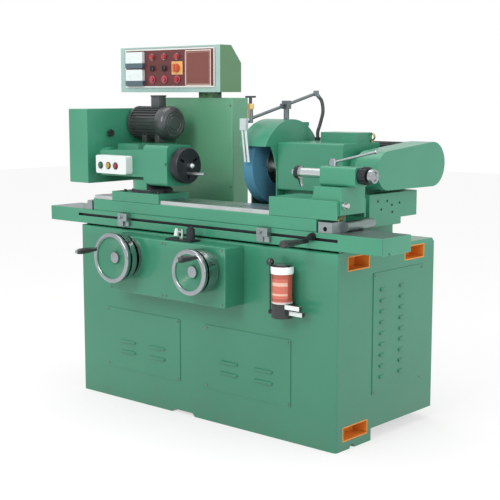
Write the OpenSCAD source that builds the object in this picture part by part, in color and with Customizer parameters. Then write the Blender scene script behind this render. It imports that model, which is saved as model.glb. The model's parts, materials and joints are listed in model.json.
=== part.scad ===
// Plain cylindrical grinder: a cast base carries a long table with a workhead and a tailstock,
// and behind the table a cross slide with the grinding wheel. Millimetres, +Z up, +X to the right,
// the front looks towards -Y, and the origin is the centre of the base on the floor.

/* [Base] */
// Width of the base cabinet
base_w = 1500; // [1400:10:1650]
// Depth of the base cabinet
base_d = 690; // [680:5:740]
// Height of the casting below the guideways
base_h = 789; // [786:1:820]
// Depth of the front foot that reaches the floor
foot_d = 235; // [220:5:260]
// Height of the clearance under the rear of the base
foot_h = 50; // [40:1:56]
// Rounding of the outer edges of the base
base_edge_r = 12; // [6:1:18]
// Chamfer along the top rear edge
base_chamfer = 25; // [15:1:35]
// Height of the flat guideway above the casting
way_h = 8; // [6:1:10]
// Width of a guideway
way_w = 44; // [36:1:50]
// Height of the vee guideway above the casting
vee_h = 22; // [16:1:26]
// Height of the saddle that carries the cross slide
saddle_h = 61; // [55:1:66]
// Width of the pry notch in the front foot
notch_w = 140; // [100:5:180]
// Height of the pry notch
notch_h = 14; // [10:1:20]

/* [Lifting sockets] */
// Width of a lifting socket
socket_w = 146; // [130:2:150]
// Height of a lifting socket
socket_h = 60; // [50:1:64]
// Depth of a lifting socket
socket_depth = 75; // [60:5:90]
// Wall of the socket lining
socket_wall = 5; // [3:0.5:6]

/* [Doors] */
// Width of a front door
door_w = 475; // [440:5:500]
// Height of a front door
door_h = 276; // [250:2:300]
// Thickness of a door sheet
door_t = 3; // [2:0.5:4]
// Width of the side door
side_door_w = 360; // [340:5:380]
// Height of the side door
side_door_h = 500; // [470:5:510]
// Length of a front louvre
louvre_l = 96; // [80:2:110]
// Height of a louvre
louvre_h = 11; // [8:1:14]
// How far a louvre stands out
louvre_out = 7; // [5:1:9]

/* [Feed box] */
// Width of the feed box
apron_w = 704; // [690:2:720]
// Height of the feed box
apron_h = 247; // [240:1:250]
// How far the feed box stands out
apron_d = 115; // [105:1:120]
// Radius of a handwheel shaft
wheel_shaft_r = 14; // [12:0.5:16]
// Radius of the left handwheel
left_wheel_r = 109; // [100:1:112]
// Radius of the right handwheel
right_wheel_r = 95; // [88:1:98]
// Radius of the left dial
left_dial_r = 104; // [96:1:106]
// Radius of the right dial
right_dial_r = 91; // [84:1:93]
// Length of a crank grip
grip_l = 104; // [90:2:110]
// Largest radius of a crank grip
grip_r = 13; // [11:0.5:14]

/* [Lubricator] */
// Radius of the oil reservoir
oil_r = 42; // [38:1:44]
// Height of the oil reservoir
oil_h = 118; // [100:2:124]
// Height of the pump block
oil_pump_h = 58; // [52:1:64]

/* [Tables] */
// Length of the sliding table
table_l = 1924; // [1900:4:1960]
// Depth of both tables
table_d = 190; // [188:1:194]
// Thickness of the sliding table
table_h = 67; // [64:1:70]
// Length of the swivel table
swivel_l = 1304; // [1300:2:1306]
// Thickness of the painted part of the swivel table
swivel_h = 51; // [48:1:54]
// Height of the machined rail on the swivel table
rail_h = 17; // [14:1:20]
// How far the rail stands back from the table faces
rail_inset = 8; // [6:0.5:10]
// Height of the front tee slot
slot_h = 11; // [9:0.5:13]
// Depth of the front tee slot
slot_depth = 14; // [12:1:16]

/* [Work axis] */
// Height of the work axis above the rail
centre_h = 152; // [150:1:156]
// Radius of the face plate
plate_r = 79; // [70:1:80]
// Thickness of the face plate
plate_t = 42; // [38:1:44]
// Radius of the work spindle
work_spindle_r = 25; // [22:1:28]
// Radius of the work centres
centre_r = 12; // [10:0.5:13]

/* [Workhead] */
// Width of the workhead housing along the axis
head_w = 149; // [146:1:152]
// Depth of the workhead housing
head_d = 156; // [152:1:158]
// Height of the workhead housing
head_h = 178; // [172:1:180]
// Length of the rear spindle housing
rear_housing_l = 283; // [280:1:286]
// Radius of the swivel plate
swivel_r = 92; // [88:1:94]
// Radius of the workhead motor over its fins
head_motor_r = 79; // [76:1:80]
// Length of the workhead motor
head_motor_l = 248; // [240:1:252]
// Width of the workhead belt guard along the axis
head_guard_w = 129; // [120:1:132]
// Depth of the workhead belt guard
head_guard_d = 398; // [390:2:400]
// Height of the workhead belt guard
head_guard_h = 339; // [330:1:344]

/* [Button station] */
// Width of the push button box
station_w = 201; // [190:1:204]
// Height of the push button box
station_h = 82; // [76:1:86]
// Depth of the push button box
station_d = 40; // [36:1:44]
// Radius of a push button
push_r = 12; // [10:0.5:13]

/* [Tailstock] */
// Width of the tailstock pedestal along the axis
pedestal_w = 155; // [150:1:158]
// Length of the tailstock foot in front of the pedestal
tail_foot_l = 190; // [186:1:194]
// Height of the tailstock foot
tail_foot_h = 57; // [52:1:60]
// Length of the tailstock barrel
barrel_l = 169; // [166:1:172]
// Depth of the tailstock barrel
barrel_d = 80; // [76:1:84]
// Height of the tailstock barrel
barrel_h = 76; // [74:1:78]
// Radius of the tailstock sleeve
sleeve_r = 19; // [17:0.5:20]
// Radius of the rear spring knob
knob_r = 35; // [32:1:36]
// Length of the rear spring knob
knob_l = 64; // [60:1:68]

/* [Wheelhead] */
// Width of the wheelhead casing
casing_w = 348; // [340:2:352]
// Depth of the wheelhead casing
casing_d = 260; // [250:2:264]
// Height of the wheelhead casing
casing_h = 205; // [202:1:210]
// Width of the cross slide
slide_w = 452; // [446:2:456]
// Depth of the cross slide
slide_d = 350; // [340:2:352]
// Height of the cross slide
slide_h = 135; // [130:1:138]
// Radius of the grinding wheel
wheel_r = 175; // [165:1:178]
// Width of the grinding wheel
wheel_w = 55; // [50:1:58]
// Radius of the bore in the grinding wheel
wheel_bore_r = 63.5; // [60:0.5:66]
// Radius of the wheel guard
guard_r = 201; // [198:1:204]
// Width of the wheel guard
guard_w = 148; // [146:1:150]
// Sheet thickness of the wheel guard
guard_t = 6; // [4:0.5:7]
// Radius of the wheel spindle in its housing
spindle_r = 40; // [36:1:44]
// Radius of the wheel motor
motor_r = 92; // [86:1:93]
// Length of the wheel motor
motor_l = 286; // [280:2:290]
// Width of the spindle belt guard along the axis
belt_guard_w = 115; // [110:1:118]
// Radius of the front end of the spindle belt guard
belt_guard_front_r = 80; // [78:1:84]
// Radius of the rear end of the spindle belt guard
belt_guard_rear_r = 95; // [92:1:98]
// Radius of the spindle pulley
spindle_pulley_r = 62; // [58:1:64]
// Radius of the motor pulley
motor_pulley_r = 74; // [70:1:76]

/* [Coolant] */
// Radius of the coolant pipe
pipe_r = 7; // [6:0.5:8]
// Radius of the coolant hose
hose_r = 8; // [7:0.5:9]

/* [Cabinet and panel] */
// Width of the electrical cabinet
cabinet_w = 490; // [470:5:500]
// Depth of the electrical cabinet
cabinet_d = 112; // [100:1:120]
// Height of the electrical cabinet above the base
cabinet_h = 587; // [580:1:600]
// Width of the control panel
panel_w = 669; // [660:1:675]
// Height of the control panel
panel_h = 215; // [212:1:220]
// Depth of the control panel at its foot
panel_d = 145; // [136:1:150]
// Depth of the control panel at its top
panel_top_d = 76; // [70:1:90]
// Thickness of the fascia plate
fascia_t = 2; // [1.5:0.5:3]

/* [Hidden] */
dark = [0.13, 0.13, 0.14];
grey = [0.23, 0.24, 0.27];

// Resolution of round surfaces
$fn = 48;
// Running clearance of a shaft in its bore
run_gap = 0.05;
// Clearance of a loose piece beside its neighbour
seat_gap = 0.3;
// Overrun of a cut past the surface it opens
cut = 2;

// Guideway and table levels
front_y = -base_d / 2;
rear_y = base_d / 2;
table_z = base_h + way_h;
swivel_z = table_z + table_h;
rail_z = swivel_z + swivel_h;
head_z = rail_z + rail_h;
axis_z = head_z + centre_h;
// Place of the table along X and of the work axis along Y
table_x = -7;
table_y = front_y + table_d / 2;
axis_y = table_y;
vee_in = 45;
vee_y = front_y + vee_in;
flat_in = 145;
flat_y = front_y + flat_in;
way_gap = 0.3;
base_wall = 16;
rib_w = 44;
rib_x = 400;
anchor_r = 7;
anchor_depth = 40;
anchor_y = 250;
sheet_t = 4;
box_wall = 10;
bearing_r = 30;
duct_w = 60;
duct_d = 40;

// Lifting sockets: height and distance from the front of the base
socket_top_drop = 47;
socket_top_z = base_h - socket_top_drop;
socket_low_z = 65;
socket_front_in = 139;
socket_front_y = front_y + socket_front_in;
socket_rear_in = 533;
socket_rear_y = front_y + socket_rear_in;
socket_low_in = 128;
socket_low_y = front_y + socket_low_in;
socket_low_share = 1.14;
socket_places = [[socket_front_y, socket_top_z, 1], [socket_rear_y, socket_top_z, 1],
    [socket_low_y, socket_low_z, socket_low_share]];
side_notch_in = 108;
side_notch_y = front_y + side_notch_in;
side_notch_r = 16;

// Doors
left_door_x = -338;
right_door_x = 285;
door_drop = 506;
door_z = base_h - door_drop;
side_door_in = 417;
side_door_y = front_y + side_door_in;
side_door_drop = 353;
side_door_z = base_h - side_door_drop;
louvre_pitch = 47;
louvre_drop = 32;
louvre_col_share = 0.2;
side_louvre_l = 34;
side_louvre_pitch = 45;
side_louvre_count = 9;
side_louvre_in = 300;
side_louvre_step = 137;
side_louvre_y = [front_y + side_louvre_in, front_y + side_louvre_in + side_louvre_step];
screw_r = 5;
screw_h = 3;
screw_edge = 12;

// Rear saddle
saddle_x = 390;
saddle_w = 320;
saddle_in = 270;
saddle_front_y = front_y + saddle_in;
saddle_rear_in = 2;
saddle_rear_y = rear_y - saddle_rear_in;
guide_w = 80;
guide_h = 12;
saddle_z = base_h + saddle_h;
notch_x = -86;

// Levelling feet
pad_x = rib_x;
pad_y = anchor_y;
pad_r = 45;
pad_h = 14;
pad_screw_r = 12;
pad_nut_r = 20;
pad_nut_h = 12;

// Feed box
apron_x = -80;
apron_drop = 256;
apron_z = base_h - apron_drop;
apron_edge_r = 10;
apron_y = front_y - apron_d;
left_wheel_x = -309;
left_wheel_up = 161;
left_wheel_z = apron_z + left_wheel_up;
right_wheel_x = 162;
right_wheel_up = 148;
right_wheel_z = apron_z + right_wheel_up;
shaft_hole_depth = 70;
left_dial_l = 36;
right_dial_l = 58;
index_l = 12;
index_share = 0.88;
rim_w = 24;
rim_t = 22;
web_t = 8;
web_back = 34;
hub_r = 24;
left_face_out = 98;
left_face_y = apron_y - left_face_out;
right_face_out = 103;
right_face_y = apron_y - right_face_out;
pin_r = 5;
pin_head_r = 8;
pin_head_l = 5;
left_grip_angle = 162;
right_grip_angle = 54;
left_grip_in = 11;
left_grip_at_r = left_wheel_r - left_grip_in;
right_grip_in = 12;
right_grip_at_r = right_wheel_r - right_grip_in;

// Lubricator
oil_x = 514;
oil_out = 46;
oil_y = front_y - oil_out;
oil_drop = 270;
oil_z = base_h - oil_drop;
oil_ring_r = 46;
oil_ring_h = 30;
oil_cap_r = 32;
oil_cap_h = 8;
oil_bracket_w = 60;
oil_lug_l = 64;
oil_lug_h = 18;
oil_lug_pitch = 26;
oil_lever_out = 62;
oil_lever_x = oil_x - oil_lever_out;
oil_lever_r = 4;
oil_lever_l = 200;
oil_knob_r = 16;
oil_pivot_up = 16;
oil_pivot_z = oil_z + oil_pivot_up;
oil_pivot_r = 7;

// Reversing valve on the feed box
valve_out = 60;
valve_y = front_y - valve_out;
valve_x = 26;
valve_r = 18;
valve_h = 46;
valve_base_h = 8;
valve_base_w = 150;
valve_base_d = 60;
lever_x = -22;
lever_pin_r = 6;
lever_pin_h = 40;
lever_boss_r = 9;
cone_x = -58;
cone_r = 12;
cone_h = 30;
apron_top_z = apron_z + apron_h;

// Tables
table_left_x = table_x - table_l / 2;
table_right_x = table_x + table_l / 2;
swivel_left_x = table_x - swivel_l / 2;
swivel_right_x = table_x + swivel_l / 2;
slot_up = 40;
slot_z = table_z + slot_up;
slot_left_x = -767;
slot_right_x = 748;
table_edge_r = 4;
pivot_r = 20;
pivot_h = 18;
rail_slot_w = 16;
rail_slot_d = 10;
clamp_h = 42;
left_clamp_w = 66;
right_clamp_w = 66;
end_clamp_gap = 10;
clamp_d = 72;
roll_r = 21;
roll_l = 206;
roll_x = 726;
bolt_r = 7;
bolt_head_h = 8;
wing_l = 34;
dog_w = 58;
dog_drop = 31;
dog_top_gap = 1;
dog_up = table_h - dog_top_gap - slot_up;
dog_h = dog_up + dog_drop;
dog_d = 26;
left_dog_x = -438;
right_dog_x = 389;
dog_tongue_h = slot_h - 2 * seat_gap;
dog_tongue_gap = 2;
dog_tongue_d = slot_depth - dog_tongue_gap;
handle_x = 608;
handle_pivot_x = 630;
handle_pivot_up = 10;
handle_pivot_z = slot_z + handle_pivot_up;
handle_drop = 8;
handle_z = slot_z - handle_drop;
handle_l = 150;
handle_big_r = 16;
handle_small_r = 10;
handle_arm_t = 12;
handle_boss_r = 15;
handle_plate_t = 10;

// Workhead
head_base_x = -380;
head_base_w = 301;
head_base_h = 26;
head_turn_x = -365;
ring_h = 14;
flange_h = 21;
flange_r = 86;
head_turn_pin_r = 22;
head_turn_pin_h = 30;
head_right_x = -190;
head_left_x = head_right_x - head_w;
rear_left_x = head_left_x - rear_housing_l;
head_bottom_z = head_z + head_base_h + ring_h + flange_h;
head_edge_r = 22;
rear_low_share = 0.2;
rear_top_share = 0.88;
rear_end_low_share = 0.18;
rear_end_top_share = 0.82;
lock_stud_r = 5;
lock_stud_l = 12;
boss_r = 66;
boss_l = 44;
guard_right_x = rear_left_x - boss_l;
nose_r = 60;
nose_l = 14;
plate_gap = 1;
plate_back_x = head_right_x + nose_l + plate_gap;
plate_face_x = plate_back_x + plate_t;
work_tip_l = 38;
drive_pin_r = 6.5;
drive_pin_l = 98;
drive_pin_at_r = 33;
drive_pin_angle = -100;
head_motor_in = 293;
head_motor_y = front_y + head_motor_in;
head_motor_up = 266;
head_motor_z = head_bottom_z + head_motor_up;
head_motor_left_x = guard_right_x + seat_gap;
head_motor_right_x = head_motor_left_x + head_motor_l;
head_guard_out = 23;
head_guard_y = front_y - head_guard_out;
head_guard_up = 55;
head_guard_z = head_z + head_guard_up;
mount_plate_t = 22;
mount_rail_h = 12;
fin_t = 4;
fin_h = 8;
fin_sink = 1;
fin_count = 20;
cover_l = 58;
terminal_w = 54;
terminal_d = 46;
terminal_h = 50;
terminal_x = 114;
gland_r = 9;
gland_l = 34;
star_in = 105;
star_y = front_y + star_in;
star_up = 130;
star_z = axis_z + star_up;
star_r = 17;
star_lobe_r = 5;
star_t = 14;
star_neck_r = 7;
star_neck_l = 10;
head_guard_edge_r = 6;

// Button station
station_x = -510;
station_drop = 5;
station_z = axis_z - station_drop;
station_edge_r = 10;
station_back_y = axis_y - head_d / 2;
push_travel = 4;
push_out = 7;
push_seat_depth = 14;
push_body_l = 12;
station_push_step = [-68, -16, 32];
station_push_x = [for (step = station_push_step) station_x + step];
station_push_drop = 10;
station_push_z = axis_z - station_push_drop;
push_edge = 2;

// Tailstock
tail_left_x = 405;
pedestal_left_x = tail_left_x + tail_foot_l;
pedestal_right_x = pedestal_left_x + pedestal_w;
pedestal_d = 156;
pedestal_neck = 24;
pedestal_neck_h = 56;
clamp_nut_r = 13;
barrel_in = 22;
barrel_left_x = pedestal_left_x + barrel_in;
barrel_right_x = barrel_left_x + barrel_l;
barrel_drop = 44;
barrel_z = axis_z - barrel_drop;
sleeve_room = 1;
sleeve_stroke = 30;
hub_recess = 3;
barrel_edge_r = 12;
sleeve_out = 145;
sleeve_left_x = barrel_left_x - sleeve_out;
sleeve_in = 130;
centre_out = 30;
tail_ring_r = 27;
tail_ring_l = 22;
dresser_l = 56;
dresser_w = 14;
tail_lever_in = 33;
tail_lever_x = barrel_left_x + tail_lever_in;
tail_hub_r = 16;
tail_hub_h = 22;
tail_lever_r = 5;
tail_lever_l = 186;
tail_lever_rise = 14;
tail_lever_yaw = 12;
tail_lever_knob_r = 8;
knob_rib_count = 16;
knob_rib_r = 3;
knob_core_l = 38;
knob_ring_l = 18;
knob_ring_r = 27;
knob_stem_r = 10;
knob_stem_l = 28;

// Wheelhead
casing_left_x = 198;
casing_right_x = casing_left_x + casing_w;
casing_in = 300;
casing_y = front_y + casing_in;
casing_edge_r = 16;
slide_z = saddle_z;
slide_in = 345;
slide_y = front_y + slide_in;
slide_step_d = 230;
slide_step_h = 28;
casing_z = slide_z + slide_h;
casing_top_z = casing_z + casing_h;
wheel_in = 400;
wheel_y = front_y + wheel_in;
wheel_z = axis_z;
wheel_left_x = 65;
wheel_right_x = wheel_left_x + wheel_w;
guard_left_x = casing_left_x - guard_w;
mouth_top = 88;
mouth_low_front = 104;
mouth_high_front = 145;
flange_out_r = 84;
flange_t = 7;
spindle_nut_r = 28;
spindle_nut_l = 12;
spindle_thin_r = 26;
belt_guard_gap = 44;
belt_guard_left_x = casing_right_x + belt_guard_gap;
belt_guard_right_x = belt_guard_left_x + belt_guard_w;
belt_guard_t = 4;
housing_boss_r = 58;
motor_back = 330;
motor_y = wheel_y + motor_back;
motor_up = 12;
motor_z = wheel_z + motor_up;
motor_shaft_r = 19;
motor_gap = 10;
motor_right_x = belt_guard_left_x - motor_gap;
motor_left_x = motor_right_x - motor_l;
motor_plate_h = 16;
motor_foot_h = motor_z - motor_r - casing_z - motor_plate_h;
motor_plate_in = 20;
motor_plate_x = motor_left_x + motor_plate_in;
motor_plate_w = 240;
motor_plate_d = 265;
motor_fin_count = 24;
pulley_w = 66;
pulley_in = 22;
pulley_x = belt_guard_left_x + pulley_in;
belt_t = 8;
belt_w = 16;
belt_count = 3;
belt_pitch = 20;
groove_d = 5;
groove_slope = 1;
belt_side_gap = 1.5;
wheel_edge = 2;
top_box_w = 190;
top_box_d = 110;
top_box_h = 42;
top_box_in = 132;
top_box_x = casing_left_x + top_box_in;
top_box_back = 130;
top_box_y = casing_y + top_box_back;
eye_in = 22;
eye_x = casing_right_x - eye_in;
eye_back = 235;
eye_y = casing_y + eye_back;
eye_ring_r = 13;
eye_wire_r = 4;
eye_stem_r = 6;
eye_stem_h = 10;

// Coolant
pipe_from = [40, -170, 205];
pipe_start = [wheel_left_x, wheel_y, wheel_z] + pipe_from;
pipe_to = [152, 140, 312];
pipe_end = [wheel_left_x, wheel_y, wheel_z] + pipe_to;
pipe_clamp_share = 0.54;
pipe_clamp = pipe_start + (pipe_end - pipe_start) * pipe_clamp_share;
clamp_post_r = 12;
guard_top_z = wheel_z + sqrt(pow(guard_r, 2) - pow(max(0, abs(pipe_clamp[1] - wheel_y) - clamp_post_r), 2));
clamp_block = 30;
valve_body_r = 11;
valve_stem_r = 7;
valve_top_z = 80;
valve_cross_t = 8;
nozzle_from = [27, -198, 156];
nozzle_at = [wheel_left_x, wheel_y, wheel_z] + nozzle_from;
nozzle_w = 34;
nozzle_d = 18;
nozzle_h = 50;
nozzle_l = 136;
nozzle_lean = 18;
nozzle_tube_r = 6;
nozzle_spread = 9;
elbow_r = 11;
hose_foot_in = 30;
hose_foot_back = 240;
hose_fitting_h = 14;
hose_fitting_r = 13;
hose_foot = [casing_left_x + hose_foot_in, casing_y + hose_foot_back, casing_top_z];
hose_lean = [19, 13, -30];
hose_stub_l = 22.5;
hose_stub = pipe_end + hose_lean / norm(hose_lean) * hose_stub_l;
hose_start = pipe_end + hose_lean / norm(hose_lean) * (hose_stub_l + seat_gap);
hose_end = hose_foot + [0, 0, hose_fitting_h + seat_gap];
hose_step = [[15, 14, 138], [18, 12, 108], [13, 8, 78], [6, 4, 48], [0, 0, 24], [0, 0, 0]];
hose_route = concat([hose_start, pipe_end + hose_lean], [for (step = hose_step) hose_end + step]);

// Electrical cabinet and panel
cabinet_x = -445;
cabinet_in = 450;
cabinet_y = front_y + cabinet_in;
cabinet_top_z = base_h + cabinet_h;
cabinet_edge_r = 8;
neck_x = -377;
neck_w = 90;
neck_d = 62;
neck_h = 26;
neck_back = 8;
panel_x = -565;
panel_in = 400;
panel_y = front_y + panel_in;
panel_z = cabinet_top_z + neck_h;
panel_slope_h = 80;
fascia_w = 608;
fascia_h = 188;
fascia_in = 1;
fascia_x = panel_x + fascia_in;
fascia_up = 114;
fascia_z = panel_z + fascia_up;
fascia_edge_r = 12;
meter_w = 121;
meter_h = 79;
meter_t = 16;
meter_edge_r = 6;
meter_in = 222;
meter_x = panel_x - meter_in;
meter_up = [154, 70];
meter_z = [for (up = meter_up) panel_z + up];
column_step = [-106, -24, 62];
column_x = [for (step = column_step) panel_x + step];
lamp_up = 167;
lamp_z = panel_z + lamp_up;
knob_up = 113;
knob_z = panel_z + knob_up;
push_up = 60;
push_z = panel_z + push_up;
lamp_r = 13;
lamp_out = 12;
panel_knob_r = 14;
panel_knob_l = 20;
knob_shaft_r = 4;
switch_plate_w = 72;
switch_plate_h = 62;
switch_plate_t = 3;
switch_r = 20;
switch_l = 24;
ring_out_r = 19;
ring_t = 5;
name_w = 166;
name_h = 165;
name_in = 197;
name_x = panel_x + name_in;
name_up = 112;
name_z = panel_z + name_up;
name_t = 1.5;

// Turns the Z axis of its child to +X
module to_x() rotate([0, 90, 0]) children();

// Turns the Z axis of its child to +Y
module to_y() rotate([-90, 0, 0]) children();

// Turns the Z axis of its child to -Y
module to_front() rotate([90, 0, 0]) children();

// Points on the axes of the work, the grinding wheel and its motor
function on_work(x) = [x, axis_y, axis_z];
function on_wheel(x) = [x, wheel_y, wheel_z];
function on_motor(x) = [x, motor_y, motor_z];

// Round bar along +X, and round post along +Z, from the point at
module bar(at, l, r) translate(at) to_x() cylinder(h = l, r = r);
module post(at, l, r) translate(at) cylinder(h = l, r = r);

// Block with its low corner at the point at
module block(at, size) translate(at) cube(size);

// Extrudes a profile drawn in Y and Z along +X
module along_x(l) rotate([90, 0, 90]) linear_extrude(l) children();

// Extrudes a profile drawn in X and Z towards -Y
module toward_front(l) rotate([90, 0, 0]) linear_extrude(l) children();

// Rectangle with true round corners, centred
module round_rect(w, h, r) {
    square([w - 2 * r, h], center = true);
    square([w, h - 2 * r], center = true);
    for (sx = [-1, 1], sy = [-1, 1])
        translate([sx * (w / 2 - r), sy * (h / 2 - r)]) circle(r);
}

// Plate with round corners that points to -Y, its back face centred on the point at
module plate(at, w, h, r, t) translate(at) toward_front(t) round_rect(w, h, r);

// Ring round the origin
module ring(r_out, r_in, h) difference() {
    cylinder(h = h, r = r_out);
    post([0, 0, -cut], h + 2 * cut, r_in);
}

// Outline round two circles in Y and Z, with straight tangents
module belt_outline(y1, z1, r1, y2, z2, r2) {
    dist = norm([y2 - y1, z2 - z1]);
    lean = atan2(z2 - z1, y2 - y1);
    open = acos((r1 - r2) / dist);
    up = [cos(lean + open), sin(lean + open)];
    down = [cos(lean - open), sin(lean - open)];
    translate([y1, z1]) circle(r1);
    translate([y2, z2]) circle(r2);
    polygon([[y1, z1] + r1 * up, [y1, z1] + r1 * down, [y2, z2] + r2 * down, [y2, z2] + r2 * up]);
}

// Round tube along a list of points
function tube_dir(p, i) = let (a = p[max(i - 1, 0)], b = p[min(i + 1, len(p) - 1)])
    (b - a) / norm(b - a);
function tube_side(d) = let (s = cross(d, [0, 1, 0])) s / norm(s);
function tube_ring(p, i, r, n) = let (d = tube_dir(p, i), s = tube_side(d), t = cross(d, s))
    [for (k = [0 : n - 1]) p[i] + r * (cos(360 * k / n) * s + sin(360 * k / n) * t)];
module tube(p, r, n = 12) {
    last = len(p) - 1;
    points = concat([p[0]], [for (i = [0 : last]) each tube_ring(p, i, r, n)], [p[last]]);
    start = [for (k = [0 : n - 1]) [0, 1 + k, 1 + (k + 1) % n]];
    sides = [for (i = [0 : last - 1], k = [0 : n - 1], h = [0, 1])
        let (a = 1 + i * n + k, b = 1 + i * n + (k + 1) % n)
        h == 0 ? [a, a + n, b] : [b, a + n, b + n]];
    end = [for (k = [0 : n - 1]) [1 + (last + 1) * n, 1 + last * n + (k + 1) % n, 1 + last * n + k]];
    polyhedron(points, concat(start, sides, end));
}

// Rod from a to b
module rod(a, b, r) {
    d = b - a;
    translate(a) rotate([0, acos(d[2] / norm(d)), atan2(d[1], d[0])]) cylinder(h = norm(d), r = r);
}

// Hexagon bolt head along +Z
module bolt(r, h) {
    cylinder(h = h / 4, r = r * 1.5);
    translate([0, 0, h / 4]) cylinder(h = h, r = r, $fn = 6);
}

// Pressed louvre that points to -Y, open below
module louvre(l) translate([-l / 2, 0, 0]) rotate([0, 90, 0]) linear_extrude(l)
    polygon([[-louvre_h / 2, 0], [louvre_h / 2, 0], [louvre_h / 2, -louvre_out]]);

// Places of the lifting sockets, on both ends of the base
module at_sockets() for (side = [-1, 1], place = socket_places)
    translate([side * base_w / 2, place[0], place[1]]) mirror([side < 0 ? 1 : 0, 0, 0]) {
        $w = socket_w * place[2];
        children();
    }

// Chambers of the base, open below
module base_chambers() for (x = [[-base_w / 2 + base_wall, -rib_x - rib_w / 2],
        [rib_w / 2 - rib_x, rib_x - rib_w / 2], [rib_x + rib_w / 2, base_w / 2 - base_wall]])
    translate([x[0], 0, 0]) along_x(x[1] - x[0])
        polygon([[front_y + base_wall, foot_h + base_wall],
            [front_y + foot_d + base_wall, foot_h + base_wall],
            [front_y + foot_d + base_wall, -cut], [rear_y - base_wall, -cut],
            [rear_y - base_wall, base_h - base_chamfer - base_wall / 2],
            [rear_y - base_chamfer - base_wall / 2, base_h - base_wall],
                [front_y + base_wall, base_h - base_wall]]);

module base_cabinet() color("seagreen") difference() {
    union() {
        intersection() {
            translate([-base_w / 2, 0, 0]) along_x(base_w) {
                polygon([[front_y, 0], [front_y + foot_d, 0], [front_y + foot_d, foot_h],
                    [rear_y, foot_h], [rear_y, base_h - base_chamfer], [rear_y - base_chamfer, base_h],
                    [front_y + base_edge_r, base_h], [front_y + base_edge_r, base_h - base_edge_r],
                    [front_y, base_h - base_edge_r]]);
                translate([front_y + base_edge_r, base_h - base_edge_r]) circle(base_edge_r);
            }
            linear_extrude(base_h) round_rect(base_w, base_d, base_edge_r);
        }
        block([-base_w / 2 + base_edge_r, flat_y - way_w / 2, base_h - cut],
            [base_w - 2 * base_edge_r, way_w, way_h + cut]);
        translate([-base_w / 2 + base_edge_r, 0, 0]) along_x(base_w - 2 * base_edge_r)
            polygon([[vee_y - way_w / 2, base_h - cut], [vee_y + way_w / 2, base_h - cut],
                [vee_y + way_w / 2, base_h], [vee_y, base_h + vee_h], [vee_y - way_w / 2, base_h]]);
        block([saddle_x - saddle_w / 2, saddle_front_y, base_h - cut],
            [saddle_w, saddle_rear_y - base_chamfer - saddle_front_y, saddle_h + cut]);
        block([saddle_x - guide_w / 2, saddle_front_y, saddle_z - cut],
            [guide_w, saddle_rear_y - base_chamfer - saddle_front_y, guide_h + cut]);
    }
    at_sockets() block([-socket_depth, -$w / 2, -socket_h / 2], [socket_depth + cut, $w, socket_h]);
    base_chambers();
    for (x = [-rib_x, rib_x]) post([x, -anchor_y, -cut], anchor_depth + cut, anchor_r);
    for (side = [-1, 1]) translate([side * (base_w / 2 - side_notch_r), side_notch_y, 0]) to_x()
        post([0, 0, -side_notch_r - cut], 2 * side_notch_r + 2 * cut, side_notch_r);
    translate([notch_x, front_y + foot_d + cut, 0]) toward_front(foot_d + 2 * cut)
        polygon([[-notch_w / 2, -cut], [notch_w / 2, -cut], [notch_w / 2, 0],
            [notch_w / 2 - notch_h, notch_h], [notch_h - notch_w / 2, notch_h], [-notch_w / 2, 0]]);
}

module lifting_sockets() color("darkorange") at_sockets() difference() {
    block([-socket_depth, -$w / 2, -socket_h / 2], [socket_depth, $w, socket_h]);
    block([socket_wall - socket_depth, socket_wall - $w / 2, socket_wall - socket_h / 2],
        [socket_depth, $w - 2 * socket_wall, socket_h - 2 * socket_wall]);
}

module levelling_feet() color("dimgray") for (side = [-1, 1]) translate([side * pad_x, pad_y, 0])
    difference() {
    union() {
        cylinder(h = pad_h, r = pad_r);
        cylinder(h = foot_h, r = pad_screw_r);
        translate([0, 0, foot_h - pad_nut_h]) cylinder(h = pad_nut_h, r = pad_nut_r, $fn = 6);
    }
    post([0, 0, -cut], anchor_depth + cut, anchor_r);
}

// Front door, centred on its back face
module front_door() {
    toward_front(door_t) round_rect(door_w, door_h, screw_r);
    for (col = [-1, 1], row = [-1, 1])
        translate([col * door_w * louvre_col_share, -door_t, row * louvre_pitch / 2 - louvre_drop])
            louvre(louvre_l);
}

module access_doors() color("seagreen") {
    for (x = [left_door_x, right_door_x]) translate([x, front_y, door_z]) front_door();
    translate([base_w / 2, side_door_y, side_door_z]) rotate([0, 0, 90]) {
        toward_front(door_t) round_rect(side_door_w, side_door_h, screw_r);
        for (y = side_louvre_y, row = [0 : side_louvre_count - 1])
            translate([y - side_door_y, -door_t, (row - (side_louvre_count - 1) / 2) * side_louvre_pitch])
                louvre(side_louvre_l);
    }
}

// Round screw head that points to -Y
module screw_head() to_front() {
    cylinder(h = screw_h / 2, r = screw_r);
    translate([0, 0, screw_h / 2]) cylinder(h = screw_h / 2, r1 = screw_r, r2 = screw_r * 0.6);
}

module base_screws() color("gray") {
    for (x = [left_door_x, right_door_x], sx = [-1, 1], sz = [-1, 1])
        translate([x + sx * (door_w / 2 - screw_edge), front_y - door_t,
            door_z + sz * (door_h / 2 - screw_edge)])
            screw_head();
    for (sy = [-1, 1], sz = [-1, 1])
        translate([base_w / 2 + door_t, side_door_y + sy * (side_door_w / 2 - screw_edge),
            side_door_z + sz * (side_door_h / 2 - screw_edge)]) rotate([0, 0, 90]) screw_head();
    for (x = [screw_edge * 1.5 - apron_w / 2, -screw_edge * 0.9, screw_edge * 0.9,
        apron_w / 2 - screw_edge * 1.5], z = [screw_edge, apron_h - screw_edge])
        translate([apron_x + x, apron_y, apron_z + z]) screw_head();
    for (sx = [-1, 1], z = [cabinet_h * 0.3, cabinet_h - screw_edge * 3])
        translate([cabinet_x + sx * (cabinet_w / 2 - screw_edge), cabinet_y, base_h + z]) screw_head();
}

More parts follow.
